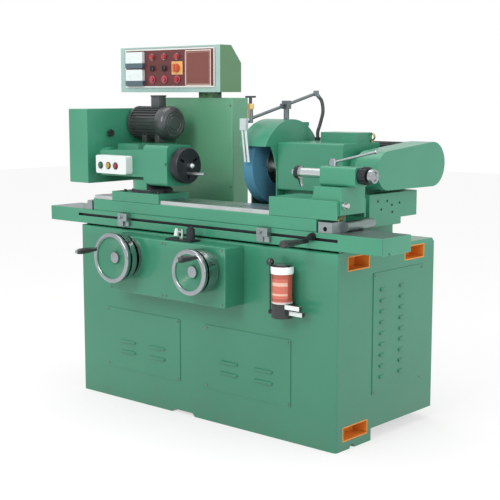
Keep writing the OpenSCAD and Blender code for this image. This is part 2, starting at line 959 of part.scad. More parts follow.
module feed_box() color("seagreen") difference() {
    union() {
        difference() {
            plate([apron_x, front_y, apron_z + apron_h / 2], apron_w, apron_h, apron_edge_r, apron_d);
            translate([apron_x, front_y + cut, apron_z + apron_h / 2]) toward_front(apron_d - box_wall + cut)
                square([apron_w - 2 * box_wall, apron_h - 2 * box_wall], center = true);
        }
        for (p = [[left_wheel_x, left_wheel_z, left_dial_r], [right_wheel_x, right_wheel_z, right_dial_r]])
            translate([p[0], apron_y, p[1]]) {
                translate([0, box_wall / 2, 0]) to_front()
                    cylinder(h = index_l + box_wall / 2, r = p[2] * index_share);
                to_y() cylinder(h = shaft_hole_depth, r = bearing_r);
            }
    }
    for (p = [[left_wheel_x, left_wheel_z], [right_wheel_x, right_wheel_z]])
        translate([p[0], apron_y - index_l - cut, p[1]]) to_y()
            cylinder(h = shaft_hole_depth + index_l + 2 * cut, r = wheel_shaft_r + run_gap);
}

// Handwheel that points to -Y from the feed box face at y = 0
module handwheel(r, dial_r, dial_l, face, grip_at, grip_angle) {
    to_front() {
        translate([0, 0, face - rim_w]) rotate_extrude() translate([r - rim_t / 2, rim_w / 2])
            round_rect(rim_t, rim_w, rim_t * 0.36);
        rotate_extrude() polygon([[0, face - web_back - web_t], [hub_r, face - web_back - web_t],
            [r - rim_t, face - rim_w * 0.8], [r - rim_t * 0.6, face - rim_w * 0.8],
            [r - rim_t * 0.6, face - rim_w * 0.4], [r - rim_t, face - rim_w * 0.4],
            [hub_r, face - web_back], [hub_r, face - web_back * 0.7], [0, face - web_back * 0.7]]);
        post([0, 0, face - rim_w - dial_l], dial_l - web_back * 0.3, dial_r);
        post([0, 0, index_l + seat_gap], face - web_back - index_l - seat_gap, hub_r * 1.4);
        post([0, 0, -shaft_hole_depth * 0.8], shaft_hole_depth, wheel_shaft_r);
        rotate([0, 0, grip_angle]) translate([grip_at, 0, face - rim_w / 2]) {
            cylinder(h = rim_w / 2 + grip_l + seat_gap * 2, r = pin_r);
            post([0, 0, rim_w / 2 + grip_l + seat_gap * 2], pin_head_l, pin_head_r);
        }
    }
}

// Crank grip that turns on its pin
module crank_grip(face, grip_at, grip_angle) to_front() rotate([0, 0, grip_angle])
    translate([grip_at, 0, face + seat_gap]) rotate_extrude()
        polygon([[pin_r + run_gap, 0], [grip_r * 0.62, 0], [grip_r * 0.68, grip_l * 0.12],
            [grip_r * 0.92, grip_l * 0.4], [grip_r, grip_l * 0.66], [grip_r * 0.96, grip_l * 0.88],
            [grip_r * 0.7, grip_l], [pin_r + run_gap, grip_l]]);

module left_handwheel() color("silver") translate([left_wheel_x, apron_y, left_wheel_z])
    handwheel(left_wheel_r, left_dial_r, left_dial_l, apron_y - left_face_y, left_grip_at_r, left_grip_angle);

module left_crank_grip() color(dark) translate([left_wheel_x, apron_y, left_wheel_z])
    crank_grip(apron_y - left_face_y, left_grip_at_r, left_grip_angle);

module right_handwheel() color("silver") translate([right_wheel_x, apron_y, right_wheel_z])
    handwheel(right_wheel_r, right_dial_r, right_dial_l, apron_y - right_face_y, right_grip_at_r,
        right_grip_angle);

module right_crank_grip() color(dark) translate([right_wheel_x, apron_y, right_wheel_z])
    crank_grip(apron_y - right_face_y, right_grip_at_r, right_grip_angle);

module lubricator_pump() color(dark) {
    post([oil_x, oil_y, oil_z], oil_pump_h, oil_r);
    block([oil_x - oil_bracket_w / 2, oil_y, oil_z], [oil_bracket_w, front_y - oil_y, oil_pump_h]);
    for (k = [0, 1]) block([oil_x, oil_y - oil_lug_h * (1.4 - k),
        oil_z + oil_pump_h - oil_lug_h - k * oil_lug_pitch], [oil_r + oil_lug_l, oil_lug_h, oil_lug_h]);
    bar([oil_lever_x + oil_pivot_r / 2 + seat_gap, oil_y, oil_pivot_z], oil_x - oil_lever_x - oil_r / 2,
        oil_pivot_r);
}

module oil_reservoir() color("orangered") translate([oil_x, oil_y, oil_z + oil_pump_h]) {
    cylinder(h = oil_h, r = oil_r);
    post([0, 0, oil_h], oil_ring_h, oil_ring_r);
    post([0, 0, oil_h + oil_ring_h], oil_cap_h, oil_cap_r);
}

module lubricator_lever() color(dark) {
    bar([oil_lever_x - oil_pivot_r / 2, oil_y, oil_pivot_z], oil_pivot_r, oil_pivot_r * 1.3);
    post([oil_lever_x, oil_y, oil_pivot_z], oil_lever_l - oil_knob_r / 2, oil_lever_r * 0.8);
    translate([oil_lever_x, oil_y, oil_pivot_z + oil_lever_l]) sphere(oil_knob_r);
}

module reversing_valve() color(grey) difference() {
    union() {
        block([lever_x - valve_base_w / 2, valve_y - valve_base_d / 2, apron_top_z],
            [valve_base_w, valve_base_d, valve_base_h]);
        post([valve_x, valve_y, apron_top_z + valve_base_h], valve_h, valve_r);
        post([valve_x, valve_y, apron_top_z + valve_base_h + valve_h], valve_base_h, valve_r * 0.7);
    }
    translate([lever_x, valve_y, apron_top_z + lever_boss_r]) to_y()
        post([0, 0, -lever_boss_r * 2], lever_boss_r * 4, lever_boss_r * 1.5);
}

module reversing_lever() color("white") {
    translate([lever_x, valve_y - lever_boss_r, apron_top_z + lever_boss_r + seat_gap]) to_y()
        cylinder(h = lever_boss_r * 2, r = lever_boss_r);
    post([lever_x, valve_y, apron_top_z + lever_boss_r + seat_gap], lever_pin_h, lever_pin_r);
    block([cone_x, valve_y - lever_pin_r / 2, apron_top_z + lever_boss_r + lever_pin_h * 0.62],
        [lever_x - cone_x, lever_pin_r, lever_pin_r]);
    translate([cone_x, valve_y, apron_top_z + lever_boss_r + lever_pin_h * 0.62 - cone_h / 2])
        cylinder(h = cone_h, r1 = cone_r, r2 = cone_r * 0.5);
}

module sliding_table() color("seagreen") difference() {
    union() {
        translate([table_left_x, table_y, table_z + table_h / 2]) along_x(table_l)
            round_rect(table_d, table_h, table_edge_r);
        post([table_x, table_y, swivel_z - cut], pivot_h + cut, pivot_r);
    }
    block([slot_left_x, front_y - cut, slot_z - slot_h / 2],
        [slot_right_x - slot_left_x, slot_depth + cut, slot_h]);
    translate([table_left_x - cut, 0, 0]) along_x(table_l + 2 * cut)
        polygon([[vee_y - way_w / 2 - way_gap, base_h], [vee_y + way_w / 2 + way_gap, base_h],
            [vee_y, base_h + vee_h + way_gap]]);
}

// Clamp at each end of the swivel table, with the wing screw and the roll on the right
module table_end_clamps() color("lightsteelblue") {
    translate([swivel_left_x - end_clamp_gap - left_clamp_w, front_y, swivel_z]) {
        cube([left_clamp_w, clamp_d, clamp_h * 0.6]);
        block([left_clamp_w / 2, 0, 0], [left_clamp_w / 2, clamp_d, clamp_h]);
        for (x = [0.25, 0.75]) translate([left_clamp_w * x, clamp_d / 2, clamp_h * (x < 0.5 ? 0.6 : 1)])
            bolt(bolt_r, bolt_head_h);
    }
    difference() {
        block([swivel_right_x + end_clamp_gap, front_y, swivel_z], [right_clamp_w, clamp_d, clamp_h]);
        translate([swivel_right_x + end_clamp_gap + right_clamp_w / 2, front_y - cut,
            swivel_z + clamp_h * 0.38]) to_y()
            cylinder(h = clamp_d + 2 * cut, r = clamp_h * 0.22);
    }
    translate([roll_x, front_y + clamp_d, swivel_z + roll_r + seat_gap]) to_y() {
        cylinder(h = roll_l - clamp_d / 2, r = roll_r);
        post([0, 0, roll_l - clamp_d / 2], clamp_d / 4, roll_r * 0.8);
    }
    translate([swivel_right_x + end_clamp_gap + right_clamp_w * 0.76, front_y + clamp_d * 0.83,
        swivel_z + clamp_h + seat_gap]) {
        cylinder(h = bolt_head_h, r = bolt_r);
        for (lean = [-62, 62]) translate([0, 0, bolt_head_h / 2]) rotate([0, lean, 0])
            block([-bolt_r / 2, -bolt_r / 3, 0], [bolt_r, bolt_r * 2 / 3, wing_l]);
    }
}

// Trip dog clamped in the front tee slot
module trip_dog(x) translate([x, front_y, slot_z]) {
    translate([-dog_w / 2, -dog_d, -dog_drop]) difference() {
        cube([dog_w, dog_d, dog_h]);
        block([dog_w * 0.62, -cut, -cut], [dog_w, dog_d * 0.5 + cut, dog_h * 0.4 + cut]);
    }
    block([-dog_w / 2, -cut, -dog_tongue_h / 2], [dog_w, dog_tongue_d + cut, dog_tongue_h]);
    translate([-dog_w * 0.14, -dog_d, dog_h * 0.18]) to_front() bolt(bolt_r, bolt_head_h);
}

module left_dog() color("lightsteelblue") trip_dog(left_dog_x);

module right_dog() color("lightsteelblue") trip_dog(right_dog_x);

module table_lever() color(grey) {
    translate([handle_pivot_x, front_y, handle_pivot_z]) to_front() {
        cylinder(h = handle_plate_t, r = handle_boss_r);
        cylinder(h = handle_plate_t + handle_arm_t, r = handle_boss_r * 0.7);
        translate([0, 0, handle_plate_t + handle_arm_t]) bolt(bolt_r, bolt_head_h);
    }
    rod([handle_pivot_x, front_y - handle_plate_t - handle_arm_t / 2, handle_pivot_z],
        [handle_x, front_y - handle_plate_t - handle_arm_t / 2, handle_z], handle_arm_t / 2);
    translate([handle_x, front_y - handle_plate_t, handle_z]) to_front() rotate_extrude()
        polygon([[0, 0], [handle_small_r, 0], [handle_small_r, handle_arm_t * 2],
            [handle_small_r * 0.8, handle_arm_t * 3], [handle_small_r * 1.1, handle_arm_t * 3.4],
            [handle_big_r, handle_l * 0.9], [handle_big_r * 0.9, handle_l], [0, handle_l]]);
}

module swivel_table() color("seagreen") difference() {
    union() {
        translate([swivel_left_x, table_y, swivel_z + swivel_h / 2]) along_x(swivel_l)
            round_rect(table_d, swivel_h, table_edge_r);
        block([swivel_left_x, front_y + rail_inset, rail_z - cut],
            [swivel_l, table_d - 2 * rail_inset, rail_h + cut]);
    }
    post([table_x, table_y, swivel_z - cut], pivot_h + seat_gap + cut, pivot_r + run_gap);
    block([swivel_left_x - cut, table_y - rail_slot_w / 2, head_z - rail_slot_d],
        [swivel_l + 2 * cut, rail_slot_w, rail_slot_d + cut]);
}

// Foot of a head, with lips over the edges of the rail
module head_foot(left_x, w, h) {
    block([left_x, front_y, head_z], [w, table_d, h]);
    for (y = [front_y, front_y + table_d - rail_inset + seat_gap])
        block([left_x, y, rail_z + seat_gap], [w, rail_inset - seat_gap, rail_h - seat_gap + cut]);
}

module workhead_base() color("seagreen") {
    head_foot(head_base_x - head_base_w / 2, head_base_w, head_base_h);
    translate([head_turn_x, axis_y, head_z + head_base_h - cut]) {
        cylinder(h = ring_h + cut, r = swivel_r);
        cylinder(h = ring_h + cut + head_turn_pin_h, r = head_turn_pin_r);
    }
    for (s = [-1, 1]) translate([head_turn_x + s * (swivel_r + bolt_r * 2), front_y + bolt_r * 4,
        head_z + head_base_h])
        bolt(bolt_r, bolt_head_h);
}

module workhead_housing() color("seagreen") difference() {
    union() {
        translate([head_left_x, axis_y, head_bottom_z + head_h / 2]) along_x(head_w)
            round_rect(head_d, head_h, head_edge_r);
        translate([head_left_x + cut, axis_y + head_d / 2, 0]) toward_front(head_d)
            polygon([[0, head_bottom_z + head_h * rear_low_share], [0, head_bottom_z + head_h * rear_top_share],
                [-rear_housing_l - cut, head_bottom_z + head_h * rear_end_top_share],
                [-rear_housing_l - cut, head_bottom_z + head_h * rear_end_low_share]]);
        bar(on_work(guard_right_x), boss_l + cut, boss_r);
        bar(on_work(head_right_x - cut), nose_l + cut, nose_r);
        post([head_turn_x, axis_y, head_bottom_z - flange_h], flange_h + head_edge_r, flange_r);
        block([head_motor_left_x + head_motor_l * 0.3, axis_y,
            head_motor_z - head_motor_r - mount_rail_h - mount_plate_t],
                [head_motor_l * 0.56, head_motor_y + head_motor_r * 0.7 - axis_y, mount_plate_t]);
        block([head_motor_left_x + head_motor_l * 0.3, axis_y, axis_z + nose_r * 0.6],
            [head_motor_l * 0.56, head_d / 2 - cut,
                head_motor_z - head_motor_r - mount_rail_h - axis_z - nose_r * 0.6]);
        translate([head_right_x - lock_stud_r * 1.4, axis_y - head_d / 2 + cut, axis_z + lock_stud_r * 1.6])
            to_front()
            cylinder(h = lock_stud_l + cut, r = lock_stud_r);
    }
    post([head_turn_x, axis_y, head_bottom_z - flange_h - cut], head_turn_pin_h + seat_gap + cut,
        head_turn_pin_r + run_gap);
    bar(on_work(guard_right_x - cut), boss_l + rear_housing_l + head_w + nose_l + 2 * cut,
        work_spindle_r + run_gap);
}

// Finned motor along +X from the origin
module motor(l, r, fins) {
    to_x() {
        cylinder(h = l - cover_l, r = r - fin_h);
        cylinder(h = cover_l / 4, r = r);
        translate([0, 0, l - cover_l]) rotate_extrude()
            polygon([[0, 0], [r, 0], [r, cover_l * 0.55], [r * 0.93, cover_l * 0.84], [r * 0.76, cover_l],
                [0, cover_l]]);
    }
    for (k = [0 : fins - 1]) rotate([k * 360 / fins, 0, 0])
        block([cover_l / 8, -fin_t / 2, r - fin_h * 2], [l - cover_l, fin_t, fin_h * 2 - fin_sink]);
}

module workhead_motor() color(grey) {
    translate([head_motor_left_x, head_motor_y, head_motor_z])
        motor(head_motor_l, head_motor_r, fin_count);
    for (x = [0.34, 0.68]) block([head_motor_left_x + head_motor_l * x, head_motor_y - head_motor_r * 0.7,
        head_motor_z - head_motor_r - mount_rail_h],
            [head_motor_l * 0.12, head_motor_r * 1.4, mount_rail_h + head_motor_r * 0.5]);
    translate([head_motor_left_x + terminal_x, head_motor_y - terminal_d / 2,
        head_motor_z + head_motor_r * 0.7]) {
        cube([terminal_w, terminal_d, head_motor_r * 0.3 + terminal_h - 2 * fin_t]);
        block([-fin_t / 2, -fin_t / 2, head_motor_r * 0.3 + terminal_h - 2 * fin_t],
            [terminal_w + fin_t, terminal_d + fin_t, 2 * fin_t]);
        bar([cut - gland_l, terminal_d / 2, head_motor_r * 0.3 + terminal_h * 0.4], gland_l, gland_r);
    }
}

module workhead_belt_guard() color("seagreen") difference() {
    union() {
        difference() {
            translate([guard_right_x - head_guard_w, head_guard_y + head_guard_d / 2,
                head_guard_z + head_guard_h / 2])
                along_x(head_guard_w) round_rect(head_guard_d, head_guard_h, head_guard_edge_r);
            block([guard_right_x - head_guard_w + sheet_t, head_guard_y + sheet_t, head_guard_z - cut],
                [head_guard_w - 2 * sheet_t, head_guard_d - 2 * sheet_t, head_guard_h - sheet_t + cut]);
        }
        bar([guard_right_x - star_neck_l - cut, star_y, star_z], star_neck_l + cut - sheet_t / 2,
            star_neck_r * 1.8);
    }
    bar([guard_right_x - star_neck_l, star_y, star_z], star_neck_l + cut, star_neck_r + run_gap);
}

module guard_knob() color(dark) translate([guard_right_x, star_y, star_z]) to_x() {
    post([0, 0, -star_neck_l + seat_gap], star_neck_l * 2, star_neck_r);
    translate([0, 0, star_neck_l]) {
        cylinder(h = star_t, r = star_r - star_lobe_r);
        for (k = [0 : 5]) rotate([0, 0, k * 60]) post([star_r - star_lobe_r, 0, 0], star_t, star_lobe_r);
    }
}

module button_station() color("whitesmoke") difference() {
    plate([station_x, station_back_y, station_z], station_w, station_h, station_edge_r, station_d);
    for (x = station_push_x) translate([x, station_back_y - station_d + push_seat_depth, station_push_z])
        to_front()
        cylinder(h = push_seat_depth + cut, r = push_r + seat_gap);
}

// Push button in the front of the button station
module station_push(x) translate([x, station_back_y - station_d, station_push_z]) to_front()
    translate([0, 0, -push_seat_depth + push_travel + seat_gap]) {
        cylinder(h = push_seat_depth - push_travel + push_out - push_edge, r = push_r);
        translate([0, 0, push_seat_depth - push_travel + push_out - push_edge])
            cylinder(h = push_edge, r1 = push_r, r2 = push_r * 0.84);
    }

module work_start_button() color("darkgreen") station_push(station_push_x[0]);

module work_jog_button() color("gold") station_push(station_push_x[1]);

module work_stop_button() color("crimson") station_push(station_push_x[2]);

module face_plate() color(grey) difference() {
    union() {
        translate(on_work(plate_back_x)) to_x() {
            cylinder(h = plate_t * 0.34, r = plate_r * 0.96);
            post([0, 0, plate_t * 0.34], plate_t * 0.54, plate_r);
            translate([0, 0, plate_t * 0.88]) cylinder(h = plate_t * 0.12, r1 = plate_r, r2 = plate_r * 0.95);
        }
        bar(on_work(guard_right_x + cut), plate_back_x - guard_right_x, work_spindle_r);
        translate(on_work(plate_face_x - plate_t / 2)) rotate([drive_pin_angle, 0, 0])
            bar([0, drive_pin_at_r, 0], plate_t / 2 + drive_pin_l, drive_pin_r);
    }
    for (k = [0 : 2]) translate(on_work(plate_face_x)) rotate([60 + k * 120, 0, 0])
        block([-plate_t * 0.4, -drive_pin_r * 0.8, plate_r * 0.42],
            [plate_t, drive_pin_r * 1.6, plate_r * 0.34]);
    bar(on_work(plate_face_x - plate_t * 0.8), plate_t, centre_r + run_gap);
}

module work_centre() color("gainsboro") translate(on_work(plate_face_x - plate_t * 0.8)) to_x() {
    cylinder(h = plate_t * 0.8 + work_tip_l * 0.5, r = centre_r);
    translate([0, 0, plate_t * 0.8 + work_tip_l * 0.5]) cylinder(h = work_tip_l * 0.5, r1 = centre_r, r2 = 0);
}

module tailstock_base() color("seagreen") {
    head_foot(tail_left_x, tail_foot_l + pedestal_w - rail_inset, tail_foot_h);
    translate([pedestal_left_x, axis_y + pedestal_d / 2, head_z + cut]) toward_front(pedestal_d) difference()
        {
        square([pedestal_w, barrel_z - head_z - cut]);
        translate([0, barrel_z - head_z]) scale([pedestal_neck, pedestal_neck_h]) circle(1);
    }
    translate([pedestal_right_x - cut, axis_y - pedestal_d / 2 + clamp_nut_r * 1.2,
        head_z + tail_foot_h * 0.7]) to_x() {
        cylinder(h = bolt_head_h + cut, r = clamp_nut_r);
        translate([0, 0, bolt_head_h + cut]) cylinder(h = bolt_head_h * 2, r = clamp_nut_r * 0.86, $fn = 6);
    }
}

module tailstock_barrel() color("seagreen") difference() {
    translate([barrel_left_x, axis_y, barrel_z + barrel_h / 2]) along_x(barrel_l)
        round_rect(barrel_d, barrel_h, barrel_edge_r);
    bar(on_work(barrel_left_x - cut), sleeve_in + cut + sleeve_room, sleeve_r + run_gap);
    bar(on_work(barrel_right_x - knob_stem_l), knob_stem_l + cut, knob_stem_r + run_gap);
    post([tail_lever_x, axis_y, barrel_z + barrel_h - hub_recess], hub_recess + cut,
        tail_hub_r * 0.5 + run_gap);
}

module tailstock_sleeve() color("gainsboro") difference() {
    union() {
        bar(on_work(sleeve_left_x), sleeve_out + sleeve_in - sleeve_stroke, sleeve_r);
        bar(on_work(sleeve_left_x), tail_ring_l, tail_ring_r);
        rod([sleeve_left_x + tail_ring_l * 0.3, axis_y, axis_z - sleeve_r * 0.8],
            [sleeve_left_x + tail_ring_l * 1.2, axis_y, axis_z - dresser_l], dresser_w / 2);
    }
    bar(on_work(sleeve_left_x - cut), sleeve_out * 0.4, centre_r + run_gap);
}

module tail_centre() color("gainsboro") translate(on_work(sleeve_left_x - centre_out)) to_x() {
    cylinder(h = centre_out * 0.4, r1 = 0, r2 = centre_r);
    post([0, 0, centre_out * 0.4], centre_out * 0.6 + sleeve_out * 0.3, centre_r);
}

module sleeve_lever() color("silver") translate([tail_lever_x, axis_y, barrel_z + barrel_h]) {
    post([0, 0, seat_gap - hub_recess], hub_recess, tail_hub_r * 0.5);
    post([0, 0, seat_gap], tail_hub_h, tail_hub_r);
    post([0, 0, tail_hub_h], tail_hub_h * 0.3, tail_hub_r * 0.7);
    translate([0, 0, tail_hub_h * 0.6]) rotate([0, 90 - tail_lever_rise, tail_lever_yaw]) {
        cylinder(h = tail_lever_l, r = tail_lever_r);
        translate([0, 0, tail_lever_l]) sphere(tail_lever_knob_r);
    }
}

module spring_knob() color("dimgray") translate(on_work(barrel_right_x)) to_x() {
    post([0, 0, sleeve_room - knob_stem_l], knob_stem_l, knob_stem_r);
    post([0, 0, seat_gap], knob_core_l, knob_r - knob_rib_r);
    for (k = [0 : knob_rib_count - 1]) rotate([0, 0, k * 360 / knob_rib_count])
        post([knob_r - knob_rib_r, 0, knob_core_l * 0.3], knob_core_l * 0.7, knob_rib_r);
    post([0, 0, knob_core_l], knob_l - knob_core_l - knob_ring_l, knob_stem_r * 1.6);
    translate([0, 0, knob_l - knob_ring_l]) rotate_extrude()
        polygon([[0, 0], [knob_ring_r, 0], [knob_ring_r, knob_ring_l], [knob_ring_r * 0.7, knob_ring_l],
            [knob_ring_r * 0.6, knob_ring_l * 0.7], [0, knob_ring_l * 0.7]]);
}

module cross_slide() color("seagreen") {
    difference() {
        translate([casing_left_x, slide_y, slide_z]) union() {
            cube([slide_w, slide_step_d, slide_h]);
            block([0, 0, slide_step_h], [slide_w, slide_d, slide_h - slide_step_h]);
        }
        block([saddle_x - guide_w / 2 - seat_gap, slide_y - cut, slide_z - cut],
            [guide_w + 2 * seat_gap, slide_d + 2 * cut, guide_h + seat_gap + cut]);
    }
    block([motor_plate_x, casing_y + casing_d, casing_z], [motor_plate_w, motor_plate_d, motor_plate_h]);
    for (p = [[0.17, 0.78], [0.24, 0.52], [0.36, 0.76], [0.46, 0.62], [0.47, 0.4], [0.62, 0.66]])
        translate([casing_left_x + slide_w, slide_y + slide_d * p[0], slide_z + slide_h * p[1]])
            rotate([0, 0, 90])
            screw_head();
}

module wheelhead_casing() color("seagreen") difference() {
    union() {
        translate([casing_left_x, casing_y + casing_d / 2, casing_z + casing_h / 2]) along_x(casing_w)
            round_rect(casing_d, casing_h, casing_edge_r * 0.5);
        block([top_box_x, top_box_y, casing_top_z - cut], [top_box_w, top_box_d, top_box_h + cut]);
        bar(on_wheel(casing_right_x - cut), belt_guard_left_x - casing_right_x + cut, housing_boss_r);
        post([eye_x, eye_y, casing_top_z - cut], eye_stem_h + cut, eye_stem_r);
        translate([eye_x, eye_y, casing_top_z + eye_stem_h + eye_ring_r]) rotate([90, 0, 0]) rotate_extrude()
            translate([eye_ring_r, 0]) circle(eye_wire_r);
        post(hose_foot - [0, 0, cut], hose_fitting_h + cut, hose_fitting_r);
    }
    bar(on_wheel(casing_left_x - cut), belt_guard_left_x - casing_left_x + 2 * cut, spindle_r + run_gap);
}

// Open front of the wheel guard, in Y and Z from the wheel axis
module guard_mouth() polygon([[-2 * guard_r, mouth_top], [-mouth_high_front, mouth_top],
    [-mouth_high_front * 0.4 - mouth_low_front * 0.6, mouth_top * 0.5], [-mouth_low_front, -mouth_top * 0.2],
    [-mouth_low_front, -2 * guard_r], [-2 * guard_r, -2 * guard_r]]);

module wheel_guard() color("seagreen") {
    translate(on_wheel(guard_left_x)) difference() {
        along_x(guard_w) circle(guard_r);
        translate([guard_t, 0, 0]) along_x(guard_w - 2 * guard_t) circle(guard_r - guard_t);
        translate([-cut, 0, 0]) along_x(guard_w + 2 * cut) guard_mouth();
        bar([-cut, 0, 0], guard_t + 2 * cut, flange_out_r + guard_t);
        bar([guard_w - guard_t - cut, 0, 0], guard_t + 2 * cut, spindle_r + guard_t);
    }
    block([guard_left_x + guard_w * 0.7, wheel_y + guard_r * 0.36, wheel_z + guard_r * 0.84],
        [guard_w * 0.3, guard_r * 0.22, guard_r * 0.09]);
}

module spindle_belt_guard() color("seagreen") difference() {
    translate([belt_guard_left_x, 0, 0]) along_x(belt_guard_w)
        belt_outline(wheel_y, wheel_z, belt_guard_front_r, motor_y, motor_z, belt_guard_rear_r);
    translate([belt_guard_left_x + belt_guard_t, 0, 0]) along_x(belt_guard_w - 2 * belt_guard_t)
        belt_outline(wheel_y, wheel_z, belt_guard_front_r - belt_guard_t, motor_y, motor_z,
            belt_guard_rear_r - belt_guard_t);
    bar(on_wheel(belt_guard_left_x - cut), belt_guard_t + 2 * cut, spindle_r);
    bar(on_motor(belt_guard_left_x - cut), belt_guard_t + 2 * cut, motor_shaft_r + cut);
}

module wheel_motor() color(grey) {
    translate(on_motor(motor_right_x)) mirror([1, 0, 0]) difference() {
        motor(motor_l, motor_r, motor_fin_count);
        bar([-cut, 0, 0], motor_l * 0.3, motor_shaft_r + run_gap);
    }
    for (x = [0.28, 0.66])
        block([motor_left_x + motor_l * x, motor_y - motor_r * 0.8, casing_z + motor_plate_h],
            [motor_l * 0.12, motor_r * 1.6, motor_foot_h + motor_r * 0.5]);
}

// Grooved pulley along +X, from its left face
module pulley(r) to_x() rotate_extrude() polygon(concat([[0, 0], [r, 0]],
    [for (k = [0 : belt_count - 1], s = [-1, 1])
        let (mid = pulley_w / 2 + (k - (belt_count - 1) / 2) * belt_pitch)
        each (s < 0 ? [[r, mid - belt_w / 2 - groove_slope], [r - groove_d, mid - belt_w / 2 + groove_slope]]
            : [[r - groove_d, mid + belt_w / 2 - groove_slope], [r, mid + belt_w / 2 + groove_slope]])],
    [[r, pulley_w], [0, pulley_w]]));

module motor_pulley() color("dimgray") {
    translate(on_motor(pulley_x)) pulley(motor_pulley_r);
    bar(on_motor(motor_right_x - motor_l * 0.25),
        pulley_x + pulley_w - motor_right_x + motor_l * 0.25, motor_shaft_r);
}

module drive_belts() color(dark) for (k = [0 : belt_count - 1])
    translate([pulley_x + pulley_w / 2 + (k - (belt_count - 1) / 2) * belt_pitch - belt_w / 2 + belt_side_gap,
        0, 0])
        along_x(belt_w - 2 * belt_side_gap) difference() {
            belt_outline(wheel_y, wheel_z, spindle_pulley_r - groove_d + seat_gap + belt_t,
                motor_y, motor_z, motor_pulley_r - groove_d + seat_gap + belt_t);
            belt_outline(wheel_y, wheel_z, spindle_pulley_r - groove_d + seat_gap,
                motor_y, motor_z, motor_pulley_r - groove_d + seat_gap);
        }

module wheel_spindle() color("gainsboro") {
    translate(on_wheel(wheel_left_x)) to_x() {
        translate([0, 0, -flange_t - spindle_nut_l]) cylinder(h = spindle_nut_l, r = spindle_nut_r, $fn = 6);
        post([0, 0, -flange_t], flange_t, flange_out_r);
        cylinder(h = wheel_w, r = wheel_bore_r - run_gap);
        post([0, 0, wheel_w], flange_t, flange_out_r);
    }
    bar(on_wheel(wheel_right_x + flange_t), belt_guard_left_x - wheel_right_x - flange_t - cut, spindle_r);
    bar(on_wheel(belt_guard_left_x - 2 * cut), pulley_x + pulley_w - belt_guard_left_x + 2 * cut,
        spindle_thin_r);
    translate(on_wheel(pulley_x)) pulley(spindle_pulley_r);
}

module grinding_wheel() color("steelblue") translate(on_wheel(wheel_left_x)) to_x() rotate_extrude()
    polygon([[wheel_bore_r, 0], [wheel_r - wheel_edge, 0], [wheel_r, wheel_edge],
        [wheel_r, wheel_w - wheel_edge], [wheel_r - wheel_edge, wheel_w], [wheel_bore_r, wheel_w]]);

module coolant_pipe() color("slategray") {
    rod(pipe_start, pipe_end, pipe_r);
    translate(pipe_end) cylinder(h = elbow_r * 2.2, r = elbow_r * 1.1, center = true);
    rod(pipe_end, hose_stub, elbow_r * 0.8);
    post([pipe_clamp[0], pipe_clamp[1], guard_top_z], pipe_clamp[2] - guard_top_z, clamp_post_r);
    translate(pipe_clamp) cube([clamp_block, clamp_block, clamp_block * 1.2], center = true);
    translate(pipe_clamp) to_front() cylinder(h = clamp_block * 1.3, r = bolt_r * 0.8);
    post(pipe_start - [0, 0, valve_body_r * 1.7], valve_body_r * 1.7 + valve_top_z * 0.6, valve_body_r);
    translate(pipe_start + [0, 0, valve_top_z * 0.5])
        cylinder(h = valve_top_z * 0.3, r = valve_body_r * 1.4, $fn = 6);
    rod(nozzle_at + [0, 0, nozzle_h * 0.7], pipe_start, pipe_r);
    block(nozzle_at - [nozzle_w / 2, nozzle_d / 2, 0], [nozzle_w, nozzle_d, nozzle_h]);
    for (s = [-1, 1]) rod(nozzle_at + [s * nozzle_spread, 0, cut],
        nozzle_at + [nozzle_lean + s * nozzle_spread, 0, -nozzle_l], nozzle_tube_r);
}

module coolant_valve_handle() color(dark)
    translate(pipe_start + [0, 0, valve_top_z * 0.8 + seat_gap]) {
        cylinder(h = valve_top_z * 0.3, r = valve_stem_r);
        post([0, 0, valve_top_z * 0.3], valve_cross_t, valve_body_r * 1.2);
        for (k = [0 : 3]) rotate([0, 0, k * 90])
            block([valve_body_r * 0.6, -valve_cross_t / 2, valve_top_z * 0.3],
                [valve_body_r * 1.9, valve_cross_t, valve_cross_t]);
    }

module coolant_hose() color(dark) tube(hose_route, hose_r);

module electrical_cabinet() color("seagreen") {
    difference() {
        translate([cabinet_x, cabinet_y + cabinet_d / 2, base_h]) linear_extrude(cabinet_h)
            round_rect(cabinet_w, cabinet_d, cabinet_edge_r);
        translate([cabinet_x, cabinet_y + cabinet_d / 2, base_h - cut])
            linear_extrude(cabinet_h - sheet_t + cut)
            round_rect(cabinet_w - 2 * sheet_t, cabinet_d - 2 * sheet_t, cabinet_edge_r - sheet_t);
        neck_duct();
    }
}

// Cable duct through the neck
module neck_duct() block([neck_x - duct_w / 2, cabinet_y + (neck_d - duct_d) / 2 + neck_back,
    cabinet_top_z - sheet_t - cut], [duct_w, duct_d, neck_h + 2 * sheet_t + 2 * cut]);

// Holes in the front of the panel
module panel_holes() {
    for (x = column_x) translate([x, panel_y + push_seat_depth - fascia_t, push_z]) to_front()
        cylinder(h = push_seat_depth + fascia_t + ring_t + cut, r = push_r + seat_gap);
    for (x = column_x) translate([x, panel_y + push_seat_depth, knob_z]) to_front()
        cylinder(h = push_seat_depth + fascia_t + switch_plate_t + cut, r = knob_shaft_r + run_gap);
}

// Side profile of the panel, a wall w smaller
module panel_profile(w) polygon([[panel_y + w, panel_z + w], [panel_y + panel_d - w, panel_z + w],
    [panel_y + panel_d - w, panel_z + panel_h - panel_slope_h - w / 2],
    [panel_y + panel_top_d - w / 2, panel_z + panel_h - w], [panel_y + w, panel_z + panel_h - w]]);

